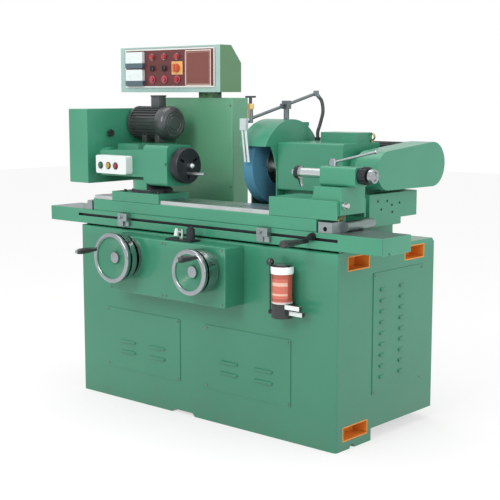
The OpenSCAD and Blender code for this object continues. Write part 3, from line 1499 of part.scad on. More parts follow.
module control_panel() color("seagreen") difference() {
    union() {
        difference() {
            translate([panel_x - panel_w / 2, 0, 0]) along_x(panel_w) panel_profile(0);
            translate([panel_x - panel_w / 2 + sheet_t, 0, 0]) along_x(panel_w - 2 * sheet_t)
                panel_profile(sheet_t);
            panel_holes();
        }
        block([neck_x - neck_w / 2, cabinet_y + neck_back, cabinet_top_z], [neck_w, neck_d, neck_h + cut]);
        translate([neck_x, cabinet_y + neck_back, cabinet_top_z + neck_h / 2]) to_front()
            bolt(bolt_r, bolt_head_h);
    }
    neck_duct();
}

module panel_fascia() color("maroon") difference() {
    union() {
        plate([fascia_x, panel_y, fascia_z], fascia_w, fascia_h, fascia_edge_r, fascia_t);
        plate([name_x, panel_y - fascia_t, name_z], name_w, name_h, fascia_edge_r, name_t);
    }
    panel_holes();
}

module panel_instruments() color("whitesmoke") {
    for (z = meter_z) plate([meter_x, panel_y - fascia_t, z], meter_w, meter_h, meter_edge_r, meter_t);
    for (x = column_x) translate([x, panel_y - fascia_t, lamp_z]) to_front() {
        cylinder(h = ring_t, r = lamp_r * 1.25);
        cylinder(h = lamp_out, r = lamp_r);
    }
    for (x = column_x) translate([x, panel_y - fascia_t, push_z]) to_front()
        ring(ring_out_r, push_r + seat_gap, ring_t);
    difference() {
        translate([column_x[2], panel_y - fascia_t, knob_z]) toward_front(switch_plate_t)
            square([switch_plate_w, switch_plate_h], center = true);
        panel_holes();
    }
}

// Pointer knob on the fascia
module pointer_knob(x, r, l, gap) translate([x, panel_y - fascia_t - gap, knob_z]) to_front() {
    post([0, 0, -fascia_t - gap - push_seat_depth * 0.7], fascia_t + gap + push_seat_depth, knob_shaft_r);
    translate([0, 0, seat_gap]) {
        cylinder(h = l * 0.4, r = r);
        block([-r * 0.28, -r * 0.96, l * 0.4], [r * 0.56, r * 1.92, l * 0.6]);
    }
}

module speed_knob() color(grey) pointer_knob(column_x[0], panel_knob_r, panel_knob_l, 0);

module timer_knob() color(grey) pointer_knob(column_x[1], panel_knob_r, panel_knob_l, 0);

module main_switch() color("orangered") pointer_knob(column_x[2], switch_r, switch_l, switch_plate_t);

// Push button in the panel
module panel_push(x) translate([x, panel_y - fascia_t, push_z]) to_front()
    post([0, 0, -push_seat_depth + fascia_t + push_travel + seat_gap],
        push_seat_depth - fascia_t - push_travel + ring_t + push_out, push_r);

module start_push() color("hotpink") panel_push(column_x[0]);

module inch_push() color("hotpink") panel_push(column_x[1]);

module stop_push() color("crimson") panel_push(column_x[2]);

base_cabinet();
access_doors();
lifting_sockets();
levelling_feet();
feed_box();
base_screws();
lubricator_pump();
oil_reservoir();
lubricator_lever();
reversing_valve();
reversing_lever();
left_handwheel();
left_crank_grip();
right_handwheel();
right_crank_grip();
electrical_cabinet();
control_panel();
panel_fascia();
panel_instruments();
speed_knob();
timer_knob();
main_switch();
start_push();
inch_push();
stop_push();
sliding_table();
table_end_clamps();
left_dog();
right_dog();
table_lever();
swivel_table();
workhead_base();
workhead_housing();
workhead_motor();
workhead_belt_guard();
guard_knob();
button_station();
work_start_button();
work_jog_button();
work_stop_button();
face_plate();
work_centre();
tailstock_base();
tailstock_barrel();
tailstock_sleeve();
tail_centre();
sleeve_lever();
spring_knob();
cross_slide();
wheelhead_casing();
wheel_guard();
spindle_belt_guard();
wheel_motor();
motor_pulley();
drive_belts();
wheel_spindle();
grinding_wheel();
coolant_pipe();
coolant_valve_handle();
coolant_hose();
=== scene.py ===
# A plain cylindrical grinder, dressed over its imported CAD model. Metres, in the CAD's own frame:
# +Z up, +X to the right along the work axis, and the operator stands at -Y.
import json
from math import cos, hypot, pi, radians, sin

import bmesh
import bpy
from mathutils import Matrix, Vector


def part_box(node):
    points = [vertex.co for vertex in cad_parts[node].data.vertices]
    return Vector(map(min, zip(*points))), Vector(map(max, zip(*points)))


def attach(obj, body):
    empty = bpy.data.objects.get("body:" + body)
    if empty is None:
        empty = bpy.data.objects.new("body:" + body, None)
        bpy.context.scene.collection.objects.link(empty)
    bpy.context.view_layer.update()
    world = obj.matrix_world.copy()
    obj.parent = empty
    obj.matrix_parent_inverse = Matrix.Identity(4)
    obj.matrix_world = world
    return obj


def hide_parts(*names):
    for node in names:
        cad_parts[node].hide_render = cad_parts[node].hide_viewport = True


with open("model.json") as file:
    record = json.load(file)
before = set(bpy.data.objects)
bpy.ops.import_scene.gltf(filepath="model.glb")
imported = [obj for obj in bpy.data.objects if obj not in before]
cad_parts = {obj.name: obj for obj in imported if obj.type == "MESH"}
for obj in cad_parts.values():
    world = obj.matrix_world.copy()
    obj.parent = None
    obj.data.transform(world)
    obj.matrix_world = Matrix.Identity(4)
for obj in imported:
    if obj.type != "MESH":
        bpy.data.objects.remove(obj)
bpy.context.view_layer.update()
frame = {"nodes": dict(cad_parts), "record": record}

nodes = frame["nodes"]
record = frame["record"]
body_of = {node: body for body, members in record["behaviour"]["bodies"].items() for node in members}

# Camera. It stands where the photograph was taken, a little below the height of the machine's top, and
# looks down by eight degrees at the right front corner of the base.
sensor_mm, photo_px, focal_px = 36.0, 500, 1114.9
look_down, look_left = 7.93, 41.40
eye = bpy.data.cameras.new("photograph_lens")
eye.sensor_width = sensor_mm
eye.lens = focal_px / photo_px * sensor_mm
eye.clip_end = 60.0
camera = bpy.data.objects.new("photograph_camera", eye)
camera.location = (3.2781, -3.7177, 1.3902)
camera.rotation_euler = (radians(90 - look_down), 0.0, radians(look_left))
bpy.context.scene.collection.objects.link(camera)
bpy.context.scene.camera = camera
bpy.context.scene.view_settings.view_transform = "Standard"


# Shader and geometry trees are both written with this: a node is made by its type, its settings and
# what goes into its sockets, and the answer is a wire that takes part in sums.
class Wire:
    def __init__(self, plan, socket):
        self.plan, self.socket = plan, socket

    def maths(self, operation, *others):
        return self.plan.node("ShaderNodeMath", {"operation": operation}, dict(enumerate((self, *others))))

    def __add__(self, other): return self.maths("ADD", other)
    __radd__ = __add__
    def __mul__(self, other): return self.maths("MULTIPLY", other)
    __rmul__ = __mul__
    def __sub__(self, other): return self.maths("SUBTRACT", other)
    def __rsub__(self, other): return self.maths("MULTIPLY_ADD", -1.0, other)
    def __gt__(self, other): return self.maths("GREATER_THAN", other)
    def __lt__(self, other): return self.maths("LESS_THAN", other)
    def within(self, low, high): return (self > low) * (self < high)
    def ramp(self, low, high):
        return self.plan.node("ShaderNodeMapRange", {"clamp": True}, {0: self, 1: low, 2: high, 3: 0.0, 4: 1.0})


class Plan:
    def __init__(self, tree):
        self.tree = tree

    def node(self, kind, settings=None, sockets=None, out=0):
        made = self.tree.nodes.new(kind)
        for name, value in (settings or {}).items():
            setattr(made, name, value)
        for name, value in (sockets or {}).items():
            if isinstance(value, Wire):
                self.tree.links.new(value.socket, made.inputs[name])
            else:
                made.inputs[name].default_value = value
        return Wire(self, made.outputs[out]) if len(made.outputs) else made


class Finish(Plan):
    """One procedural material, on Object coordinates."""

    def __init__(self, name):
        self.material = bpy.data.materials.new(name)
        self.material.use_nodes = True
        super().__init__(self.material.node_tree)
        self.tree.nodes.clear()

    def at(self, centre=(0, 0, 0), scale=(1, 1, 1)):
        place = self.node("ShaderNodeTexCoord", out=3)
        shift = tuple(-c * s for c, s in zip(centre, scale))
        return self.node("ShaderNodeMapping", None, {0: place, 1: shift, 3: scale})

    def axes(self, centre=(0, 0, 0)):
        split = self.node("ShaderNodeSeparateXYZ", None, {0: self.at(centre)})
        return [Wire(self, split.socket.node.outputs[k]) for k in range(3)]

    def noise(self, scale, detail=4.0, rough=0.55, stretch=(1, 1, 1), centre=(0, 0, 0)):
        return self.node("ShaderNodeTexNoise", None,
                         {0: self.at(centre, stretch), "Scale": scale, "Detail": detail, "Roughness": rough})

    def blend(self, amount, first, second):
        tone = lambda c: c if isinstance(c, Wire) else (*c, 1.0)
        return self.node("ShaderNodeMix", {"data_type": "RGBA"},
                         {0: amount, 6: tone(first), 7: tone(second)}, out=2)

    def mark(self, name):
        return self.node("ShaderNodeAttribute", {"attribute_name": name}, None, out=2)

    def relief(self, height, depth, base=None):
        sockets = {"Height": height, "Distance": depth, "Strength": 1.0}
        if base:
            sockets["Normal"] = base
        return self.node("ShaderNodeBump", None, sockets)

    def surface(self, color, roughness, metallic=0.0, normal=None, **fixed):
        sockets = {"Base Color": color if isinstance(color, Wire) else (*color, 1.0),
                   "Roughness": roughness, "Metallic": metallic}
        sockets.update({name.replace("_", " "): value for name, value in fixed.items()})
        if normal:
            sockets["Normal"] = normal
        shader = self.node("ShaderNodeBsdfPrincipled", None, sockets)
        self.node("ShaderNodeOutputMaterial", None, {0: shader})
        return self.material


# Studio. A pale floor that keeps the shadow, a white surround that only the camera and glossy rays see,
# and soft lamps at a plain level: a broad one above the front left, a weaker one at the right end.
def pale_surround(name, lit):
    material = bpy.data.materials.new(name)
    material.use_nodes = True
    plan = Plan(material.node_tree)
    plan.tree.nodes.clear()
    ray = plan.node("ShaderNodeLightPath")
    seen = ray.maths("MAXIMUM", Wire(plan, ray.socket.node.outputs[3]))
    matt = plan.node("ShaderNodeBsdfDiffuse", None, {0: (0.86, 0.86, 0.85, 1.0)})
    glow = plan.node("ShaderNodeEmission", None, {0: (1.0, 1.0, 1.0, 1.0), 1: lit})
    both = plan.node("ShaderNodeMixShader", None, {0: seen * 0.62, 1: matt, 2: glow})
    plan.node("ShaderNodeOutputMaterial", None, {0: both})
    return material


def slab(name, corners, material):
    mesh = bpy.data.meshes.new(name)
    mesh.from_pydata(corners, [], [tuple(range(len(corners)))])
    mesh.materials.append(material)
    thing = bpy.data.objects.new(name, mesh)
    bpy.context.scene.collection.objects.link(thing)
    return thing


floor = slab("studio_floor", [(-14, -14, 0), (14, -14, 0), (14, 14, 0), (-14, 14, 0)],
             pale_surround("pale floor", 1.0))

sky = bpy.data.worlds.new("studio")
sky.use_nodes = True
bpy.context.scene.world = sky
air = Plan(sky.node_tree)
sky.node_tree.nodes.clear()
ray = air.node("ShaderNodeLightPath")
rays = [Wire(air, ray.socket.node.outputs[k]) for k in (0, 3, 10)]
plain = air.node("ShaderNodeBackground", None, {0: (0.93, 0.97, 1.0, 1.0), 1: 0.42})
white = air.node("ShaderNodeBackground", None, {0: (1.0, 1.0, 1.0, 1.0), 1: 1.0})
shown = rays[0].maths("MAXIMUM", rays[1] * 0.75).maths("MAXIMUM", rays[2])
mixed = air.node("ShaderNodeMixShader", None, {0: shown, 1: plain, 2: white})
air.node("ShaderNodeOutputWorld", None, {0: mixed})


def softbox(name, place, target, size, power, tone=(1.0, 1.0, 1.0)):
    lamp = bpy.data.lights.new(name, "AREA")
    lamp.shape, lamp.size, lamp.energy, lamp.color = "SQUARE", size, power, tone
    thing = bpy.data.objects.new(name, lamp)
    thing.location = place
    thing.rotation_euler = (Vector(target) - Vector(place)).to_track_quat("-Z", "Y").to_euler()
    bpy.context.scene.collection.objects.link(thing)


softbox("key_lamp", (0.4, -4.4, 3.4), (0.0, 0.0, 0.8), 2.0, 96.0, (1.0, 0.98, 0.95))
softbox("side_lamp", (4.4, -0.4, 2.0), (0.4, 0.0, 0.8), 2.2, 30.0, (0.84, 0.94, 1.0))
softbox("top_lamp", (-0.6, 0.2, 4.4), (0.0, 0.0, 1.0), 2.6, 34.0)


# Base. A grey iron casting, filled, rubbed down and painted in a blue green machine enamel that hides
# small waves. Its edges are rounded by the filler and rubbed pale where hands and boots reach them.
def machine_enamel(name, light, dark, soot=0.35):
    paint = Finish(name)
    clouds = paint.noise(1.7, 3.0, 0.5).ramp(0.30, 0.70)
    specks = paint.noise(85.0, 2.0, 0.5).ramp(0.62, 0.74)
    tone = paint.blend(clouds * 0.8, light, dark)
    tone = paint.blend(specks * 0.10, tone, (0.03, 0.07, 0.06))
    # Below the table line, from 0.80 m down to 0.74 m, the enamel is darkened a third of the way to half its
    # dark tone: painted shade on the stand under the table.
    tone = paint.blend(0.34 * (1.0 - paint.axes()[2].ramp(0.74, 0.80)), tone, tuple(0.5 * c for c in dark))
    low = 1.0 - paint.axes()[2].ramp(0.0, 0.16)
    dust = low * paint.noise(9.0, 5.0, 0.65).ramp(0.35, 0.75)
    tone = paint.blend(dust * soot, tone, (0.10, 0.13, 0.10))
    rubbed = paint.mark("edge") * paint.noise(26.0, 3.0, 0.6).ramp(0.3, 0.6)
    tone = paint.blend(rubbed * 0.38, tone, (0.30, 0.56, 0.46))
    waves = paint.relief(paint.noise(5.0, 2.0, 0.5), 0.0022)
    peel = paint.relief(paint.noise(420.0, 1.0, 0.4), 0.00012, waves)
    rough = 0.27 + 0.12 * paint.noise(11.0, 4.0, 0.6) + 0.10 * dust
    return paint.surface(tone, rough, 0.0, peel, Coat_Weight=0.25, Coat_Roughness=0.12)


enamel = machine_enamel("blue green enamel", (0.046, 0.268, 0.160), (0.032, 0.210, 0.126))


def show(thing, body, node=None):
    """Puts a finished piece in the scene and fixes it to the body that carries it."""
    if not thing.users_collection:
        bpy.context.scene.collection.objects.link(thing)
    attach(thing, body)
    if node:
        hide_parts(*([node] if isinstance(node, str) else node))
    return thing


def shaded(mesh, turn=35):
    mesh.shade_smooth()
    mesh.set_sharp_from_angle(angle=radians(turn))


def made_of(work, name, material, turn=35):
    """An object from a finished bmesh, which it frees."""
    mesh = bpy.data.meshes.new(name)
    work.to_mesh(mesh)
    work.free()
    mesh.materials.append(material)
    shaded(mesh, turn)
    return bpy.data.objects.new(name, mesh)


def from_solid(node, material, rounding=0.0025, name=None, parts=None, keep=None, smooth=35):
    """The CAD solid welded, with its sharp outer edges rounded and marked as edges for the paint. parts
    picks the material of each face by its centre and normal."""
    work = bmesh.new()
    work.from_mesh(nodes[node].data)
    bmesh.ops.remove_doubles(work, verts=work.verts, dist=1e-6)
    bmesh.ops.dissolve_limit(work, angle_limit=radians(0.8), verts=work.verts, edges=work.edges)
    edge_layer = work.verts.layers.float.new("edge")
    sharp = [e for e in work.edges if len(e.link_faces) == 2 and e.is_convex
             and e.calc_face_angle(0.0) > radians(40) and (keep is None or keep(e))]
    cut = bmesh.ops.bevel(work, geom=sharp, offset=rounding, offset_type="OFFSET", segments=2, profile=0.6,
                          affect="EDGES", clamp_overlap=True)
    rim = set(cut["faces"])
    for vertex in cut["verts"]:
        vertex[edge_layer] = float(all(face in rim for face in vertex.link_faces))
    mesh = bpy.data.meshes.new(name or node + "_cast")
    work.to_mesh(mesh)
    work.free()
    mesh.materials.clear()
    for one in (material if isinstance(material, (list, tuple)) else [material]):
        mesh.materials.append(one)
    if parts:
        for face in mesh.polygons:
            face.material_index = parts(face.center, face.normal)
    shaded(mesh, smooth)
    thing = bpy.data.objects.new(mesh.name, mesh)
    thing.modifiers.new("flat_faces_stay_flat", "WEIGHTED_NORMAL").keep_sharp = True
    return show(thing, body_of[node], node)


bright_ground = Finish("ground steel")
streaks = bright_ground.noise(60.0, 3.0, 0.5, stretch=(0.05, 1.0, 1.0))
stains = bright_ground.noise(7.0, 5.0, 0.65).ramp(0.45, 0.8)
ground_steel = bright_ground.surface(
    bright_ground.blend(stains * 0.5, (0.62, 0.66, 0.66), (0.36, 0.40, 0.38)),
    0.20 + 0.16 * streaks + 0.12 * stains, 1.0, bright_ground.relief(streaks, 0.00015))

hair = 0.0005  # past a level by this, a face belongs to what stands on it
base_top = 0.789
ways_front, ways_back = -0.325, -0.17
from_solid("base_cabinet", [enamel, ground_steel], 0.004,
           parts=lambda c, n: 1 if c.z > base_top + hair and ways_front < c.y < ways_back else 0)


# Doors and their screws. Folded sheet, painted with the base, each with louvres pressed out of it whose
# mouths face down. Slotted round head screws hold the doors, the feed box and the cabinet.
def repeat(name, places, stamp, material, size=1.0):
    """Sets copies of stamp out at places, which are (point, rotation), by a Geometry Nodes tree."""
    seeds = bpy.data.meshes.new(name)
    seeds.from_pydata([p for p, _ in places], [], [])
    turn = seeds.attributes.new("turn", "FLOAT_VECTOR", "POINT")
    for item, (_, rotation) in zip(turn.data, places):
        item.vector = rotation
    thing = bpy.data.objects.new(name, seeds)
    bpy.context.scene.collection.objects.link(thing)
    tree = bpy.data.node_groups.new(name, "GeometryNodeTree")
    face = tree.interface
    face.new_socket("Places", in_out="INPUT", socket_type="NodeSocketGeometry")
    wanted = {}
    for label, kind, value in (("Stamp", "NodeSocketObject", stamp), ("Size", "NodeSocketFloat", size),
                               ("Paint", "NodeSocketMaterial", material)):
        wanted[face.new_socket(label, in_out="INPUT", socket_type=kind).identifier] = value
    face.new_socket("Result", in_out="OUTPUT", socket_type="NodeSocketGeometry")
    plan = Plan(tree)
    entry = tree.nodes.new("NodeGroupInput")
    given = [Wire(plan, s) for s in entry.outputs]
    shape = plan.node("GeometryNodeObjectInfo", {"transform_space": "ORIGINAL"}, {"Object": given[1]}, out=4)
    angle = plan.node("GeometryNodeInputNamedAttribute", {"data_type": "FLOAT_VECTOR"}, {"Name": "turn"})
    copies = plan.node("GeometryNodeInstanceOnPoints", None,
                       {"Points": given[0], "Instance": shape, "Rotation": angle, "Scale": given[2]})
    solid = plan.node("GeometryNodeRealizeInstances", None, {0: copies})
    painted = plan.node("GeometryNodeSetMaterial", None, {0: solid, "Material": given[3]})
    plan.node("NodeGroupOutput", None, {0: painted})
    layer = thing.modifiers.new("set out", "NODES")
    layer.node_group = tree
    for identifier, value in wanted.items():
        layer[identifier] = value
    bpy.context.view_layer.update()
    graph = bpy.context.evaluated_depsgraph_get()
    mesh = bpy.data.meshes.new_from_object(thing.evaluated_get(graph), preserve_all_data_layers=True,
                                           depsgraph=graph)
    thing.modifiers.remove(layer)
    thing.data = mesh
    shaded(mesh)
    return thing


def stamp_mesh(name, work):
    """A shape for repeat(), kept out of the scene."""
    bmesh.ops.recalc_face_normals(work, faces=work.faces)
    mesh = bpy.data.meshes.new(name)
    work.to_mesh(mesh)
    work.free()
    return bpy.data.objects.new(name, mesh)


def turned(profile, steps=32):
    """A bmesh of a profile of (radius, height) turned round Z; radius 0 closes it."""
    work = bmesh.new()
    rows = []
    for radius, height in profile:
        if radius < 1e-7:
            rows.append([work.verts.new((0, 0, height))])
        else:
            angles = [2 * pi * k / steps for k in range(steps)]
            rows.append([work.verts.new((radius * cos(a), radius * sin(a), height)) for a in angles])
    for low, high in zip(rows, rows[1:]):
        for k in range(steps):
            j = (k + 1) % steps
            if len(low) == 1 and len(high) > 1:
                work.faces.new((low[0], high[j], high[k]))
            elif len(high) == 1 and len(low) > 1:
                work.faces.new((low[k], low[j], high[0]))
            elif len(low) > 1:
                work.faces.new((low[k], low[j], high[j], high[k]))
    return work


def slotted_head(radius, height):
    """A round screw head that points along -Y, with a slot across it."""
    work = turned([(0, 0), (radius, 0), (radius, height * 0.35), (radius * 0.86, height * 0.8),
                   (radius * 0.55, height), (0, height)], 20)
    for vertex in work.verts:
        if vertex.co.z > height * 0.75 and abs(vertex.co.x) < radius * 0.2:
            vertex.co.z -= height * 0.4
    work.transform(Matrix.Rotation(radians(90), 4, "X"))
    return stamp_mesh("slotted_head", work)


dull_screw = Finish("screw steel")
screw_steel = dull_screw.surface(
    dull_screw.blend(dull_screw.noise(90.0), (0.30, 0.34, 0.31), (0.10, 0.13, 0.12)),
    0.36 + 0.2 * dull_screw.noise(150.0), 0.85, dull_screw.relief(dull_screw.noise(900.0), 0.0001))

from_solid("access_doors", enamel, 0.0006, keep=lambda e: e.calc_length() > 0.15, smooth=12)
front, right = -0.345, 0.75
door_t = 0.003
door_x, door_z, side_door_y, side_door_z = (-0.338, 0.285), 0.283, 0.072, 0.436
facing_right = (0, 0, radians(90))
hood = bmesh.new()
half, lift_out, tall = 0.046, 0.0072, 0.0125
arc = [(0.0, -tall * 0.62), (-lift_out * 0.96, -tall * 0.5), (-lift_out, -tall * 0.30),
       (-lift_out * 0.80, tall * 0.10), (-lift_out * 0.36, tall * 0.40), (0.0, tall * 0.5)]
spans = [(-half, 0.0), (-half * 0.94, 0.8), (-half * 0.84, 1.0),
         (half * 0.84, 1.0), (half * 0.94, 0.8), (half, 0.0)]
rows = [[hood.verts.new((x, y * lift - 0.0002, z)) for y, z in arc] for x, lift in spans]
for first, second in zip(rows, rows[1:]):
    for k in range(1, len(arc) - 1):
        hood.faces.new((first[k], second[k], second[k + 1], first[k + 1]))
pressed = stamp_mesh("louvre_stamp", hood)
# Behind each louvre a dark sloped sheet fills its mouth: painted shade standing for the dark inside of the base
# seen through the slit.
slot = bmesh.new()
slot.faces.new([slot.verts.new(corner) for corner in ((-0.041, -0.0071, -0.0052), (0.041, -0.0071, -0.0052),
                                                      (0.041, -0.0004, -0.0076), (-0.041, -0.0004, -0.0076))])
mouth = bpy.data.meshes.new("slit_stamp")
slot.to_mesh(mouth)
slot.free()
slit = bpy.data.objects.new("slit_stamp", mouth)
dark_mouth = Finish("louvre mouth")
louvre_mouth_painted_shade = dark_mouth.surface(
    dark_mouth.blend(dark_mouth.noise(60.0), (0.012, 0.022, 0.018), (0.022, 0.04, 0.032)), 0.7)


def narrowed(stamp, name):
    """The stamp of a side louvre, which is a short form of a front one."""
    short = bpy.data.objects.new(name, stamp.data.copy())
    short.data.transform(Matrix.Diagonal((0.36, 1, 1, 1)))
    return short


louvre_y = front - door_t - 0.0001
door_places = [((x + sx * 0.095, louvre_y, door_z - 0.032 + sz * 0.0235), (0, 0, 0))
               for x in door_x for sx in (-1, 1) for sz in (-1, 1)]
side_places = [((right + door_t + 0.0001, front + y, side_door_z + (k - 4) * 0.045), facing_right)
               for y in (0.300, 0.437) for k in range(9)]
for name, places, stamp, skin in (
        ("front_louvres", door_places, pressed, enamel),
        ("side_louvres", side_places, narrowed(pressed, "short_stamp"), enamel),
        ("front_louvre_mouths", door_places, slit, louvre_mouth_painted_shade),
        ("side_louvre_mouths", side_places, narrowed(slit, "slim_stamp"), louvre_mouth_painted_shade)):
    show(repeat(name, places, stamp, skin), "base")

corners = [(sx, sz) for sx in (-1, 1) for sz in (-1, 1)]
door_corners = [(x, sx, sz) for x in door_x for sx, sz in corners]
screw_places = [((x + sx * 0.2255, front - door_t, door_z + sz * 0.126), (0, radians(31 * k), 0))
                for k, (x, sx, sz) in enumerate(door_corners)]
screw_places += [((right + door_t, side_door_y + sy * 0.168, side_door_z + sz * 0.238), facing_right)
                 for sy, sz in corners]
feed_box_x, feed_box_front, feed_box_low = -0.08, -0.46, 0.533
screw_places += [((feed_box_x + x, feed_box_front, feed_box_low + z), (0, radians(40 + 900 * x), 0))
                 for x in (-0.334, -0.0108, 0.0108, 0.334) for z in (0.012, 0.235)]
cabinet_x, cabinet_front = -0.445, 0.105
screw_places += [((cabinet_x + sx * 0.233, cabinet_front, base_top + z), (0, radians(20 + 50 * sx), 0))
                 for sx in (-1, 1) for z in (0.1761, 0.551)]
heads = repeat("door_and_box_screws", screw_places, slotted_head(0.005, 0.003), screw_steel)
show(heads, "base", "base_screws")


# Lifting sockets. Pressed steel boxes let into both ends of the base, painted orange so that the fork or
# bar finds them, and scraped by bars along their lower lips.
orange = Finish("orange socket paint")
scrape = orange.noise(38.0, 4.0, 0.7, stretch=(0.4, 1, 1)).ramp(0.58, 0.66)
orange_coat = orange.blend(orange.noise(6.0), (0.82, 0.31, 0.045), (0.66, 0.20, 0.03))
orange_paint = orange.surface(
    orange.blend(scrape * 0.4, orange_coat, (0.25, 0.12, 0.06)), 0.33 + 0.2 * scrape, 0.0,
    orange.relief(orange.noise(300.0), 0.0001))
from_solid("lifting_sockets", orange_paint, 0.0012, name="socket_linings")

# Levelling feet. Turned steel pads with a screw and a lock nut under the rear of the base, blackened.
blackened = Finish("blackened steel")
worn = blackened.mark("edge") * blackened.noise(60.0).ramp(0.45, 0.75) * 0.5
black_coat = blackened.blend(blackened.noise(18.0), (0.055, 0.062, 0.066), (0.028, 0.032, 0.036))
black_steel = blackened.surface(
    blackened.blend(worn, black_coat, (0.36, 0.37, 0.37)), 0.36 + 0.18 * blackened.noise(40.0), 0.75,
    blackened.relief(blackened.noise(260.0), 0.00012))
from_solid("levelling_feet", black_steel, 0.0012)


# Feed box. A cast cover on the front of the base that holds the handwheel shafts, enamelled, with a
# polished index ring round each shaft.
mirror_finish = Finish("polished chrome")
smear = mirror_finish.noise(14.0, 4.0, 0.6)
chrome = mirror_finish.surface(
    mirror_finish.blend(smear, (0.46, 0.49, 0.50), (0.30, 0.33, 0.34)), 0.14 + 0.14 * smear, 1.0,
    mirror_finish.relief(mirror_finish.noise(30.0), 0.00012))
from_solid("feed_box", [enamel, chrome], 0.003, parts=lambda c, n: 1 if c.y < feed_box_front - hair else 0)


# Handwheels. Cast iron with a chromed, hand polished rim, a dished web painted green, and a chromed drum
# with a fine scale behind the rim. Each has a black crank grip that turns on its pin.
def scale_chrome(name, x, z, marks):
    drum = Finish(name)
    dx, _, dz = drum.axes((x, 0, z))
    around = dz.maths("ARCTAN2", dx) * (marks / (2 * pi))
    line = around.maths("FRACT").maths("COMPARE", 0.5, 0.07)
    tall_line = (around * 0.1).maths("FRACT").maths("COMPARE", 0.5, 0.008)
    depth = drum.axes()[1]
    band = depth.within(-0.498, -0.4855).maths("MAXIMUM", tall_line * depth.within(-0.510, -0.4855))
    tick = line * band
    smoke = drum.noise(20.0)
    plated = drum.blend(smoke, (0.50, 0.53, 0.54), (0.34, 0.37, 0.38))
    return drum.surface(drum.blend(tick, plated, (0.02, 0.02, 0.02)), 0.09 + 0.12 * smoke + 0.3 * tick, 1.0)


rim_w, web_depth, hub_r, rim_depth = 0.019, 0.036, 0.024, 0.0245


def handwheel(side, x, z, radius, face):
    dial = scale_chrome(side + " dial chrome", x, z, 100)

    def part(centre, normal):
        reach, depth = hypot(centre.x - x, centre.z - z), centre.y - face
        if hub_r < reach < radius - rim_w and depth < web_depth:
            return 1
        return 2 if depth > rim_depth else 0
    from_solid(side + "_handwheel", [chrome, enamel, dial], 0.0012, name=side + "_wheel_casting", parts=part)


handwheel("left", -0.309, 0.694, 0.109, -0.558)
handwheel("right", 0.162, 0.681, 0.095, -0.563)

grip_black = Finish("black grip plastic")
handled = grip_black.noise(30.0, 3.0)
black_plastic = grip_black.surface(
    grip_black.blend(handled, (0.018, 0.018, 0.020), (0.034, 0.034, 0.036)), 0.20 + 0.22 * handled, 0.0,
    grip_black.relief(grip_black.noise(500.0), 0.00006), Coat_Weight=0.4)
from_solid("left_crank_grip", black_plastic, 0.0008)
from_solid("right_crank_grip", black_plastic, 0.0008)


# Lubricator. A hand oil pump: black cast block with outlet unions, a clear ribbed reservoir with red oil
# and a bare paper label, a white collar with a black cap, and a lever with a ball.
black_cast = Finish("black crackle paint")
crackle = black_cast.noise(240.0, 3.0, 0.6)
black_paint = black_cast.surface(
    black_cast.blend(crackle, (0.016, 0.017, 0.018), (0.040, 0.042, 0.044)), 0.42, 0.0,
    black_cast.relief(crackle, 0.0003))
white_part = Finish("white plastic")
grime = white_part.noise(16.0, 4.0, 0.6)
white_plastic = white_part.surface(
    white_part.blend(grime, (0.74, 0.78, 0.77), (0.58, 0.63, 0.62)), 0.30 + 0.1 * grime, 0.0,
    white_part.relief(white_part.noise(350.0), 0.00008))
oil_x, oil_y, can_low = 0.514, -0.391, 0.577
outlets_x = oil_x + 0.058
from_solid("lubricator_pump", [black_paint, white_plastic], 0.0012,
           parts=lambda c, n: 1 if c.x > outlets_x and n.x < 0.9 else 0)
can = Finish("oil can")
cx, cy, cz = can.axes((oil_x, oil_y, can_low))
turn_about = cx.maths("ARCTAN2", cy * -1.0)
label = cz.within(0.022, 0.100) * turn_about.maths("ABSOLUTE").maths("LESS_THAN", 1.25)
stripe = label * (cz.within(0.072, 0.086) + cz.within(0.034, 0.042))
faded = can.noise(45.0, 4.0, 0.7)
tone = can.blend(cz.ramp(0.0, 0.012), (0.78, 0.80, 0.80), (0.40, 0.075, 0.045))
tone = can.blend(label, tone, can.blend(faded, (0.60, 0.15, 0.09), (0.46, 0.10, 0.07)))
tone = can.blend(stripe * 0.7, tone, (0.76, 0.52, 0.42))
tone = can.blend(cz > 0.1185, tone, (0.80, 0.84, 0.84))
tone = can.blend(cz > 0.1475, tone, (0.03, 0.03, 0.032))
can_finish = can.surface(tone, 0.14 + 0.2 * label, 0.0, can.relief(faded * label, 0.0002), Coat_Weight=0.5)
vessel = turned([(0, can_low), (0.040, can_low), (0.042, can_low + 0.002), (0.042, 0.5886), (0.0405, 0.590),
                 (0.0405, 0.688), (0.042, 0.6895), (0.042, 0.695), (0.0452, 0.6955), (0.046, 0.698),
                 (0.046, 0.721), (0.0445, 0.725), (0.033, 0.7252), (0.032, 0.7256), (0.032, 0.7315),
                 (0.030, 0.733), (0, 0.733)], 48)
vessel.transform(Matrix.Translation((oil_x, oil_y, 0)))
bmesh.ops.recalc_face_normals(vessel, faces=vessel.faces)
show(made_of(vessel, "oil_vessel", can_finish), "base", "oil_reservoir")
from_solid("lubricator_lever", black_plastic, 0.0004)

# Reversing valve. Black hydraulic body on the feed box, with a bright tripping lever and its white cone.
from_solid("reversing_valve", black_steel, 0.0012)
cone_x = -0.047
from_solid("reversing_lever", [ground_steel, white_plastic], 0.0005,
           parts=lambda c, n: 1 if c.x < cone_x else 0)

# Electrical cabinet. A tall folded steel box behind the table, painted as the machine in a lighter enamel whose
# extra lightness is painted light against the shade it stands in.
cabinet_enamel_painted_light = machine_enamel("cabinet enamel", (0.135, 0.375, 0.220), (0.105, 0.315, 0.185))
from_solid("electrical_cabinet", cabinet_enamel_painted_light, 0.002)

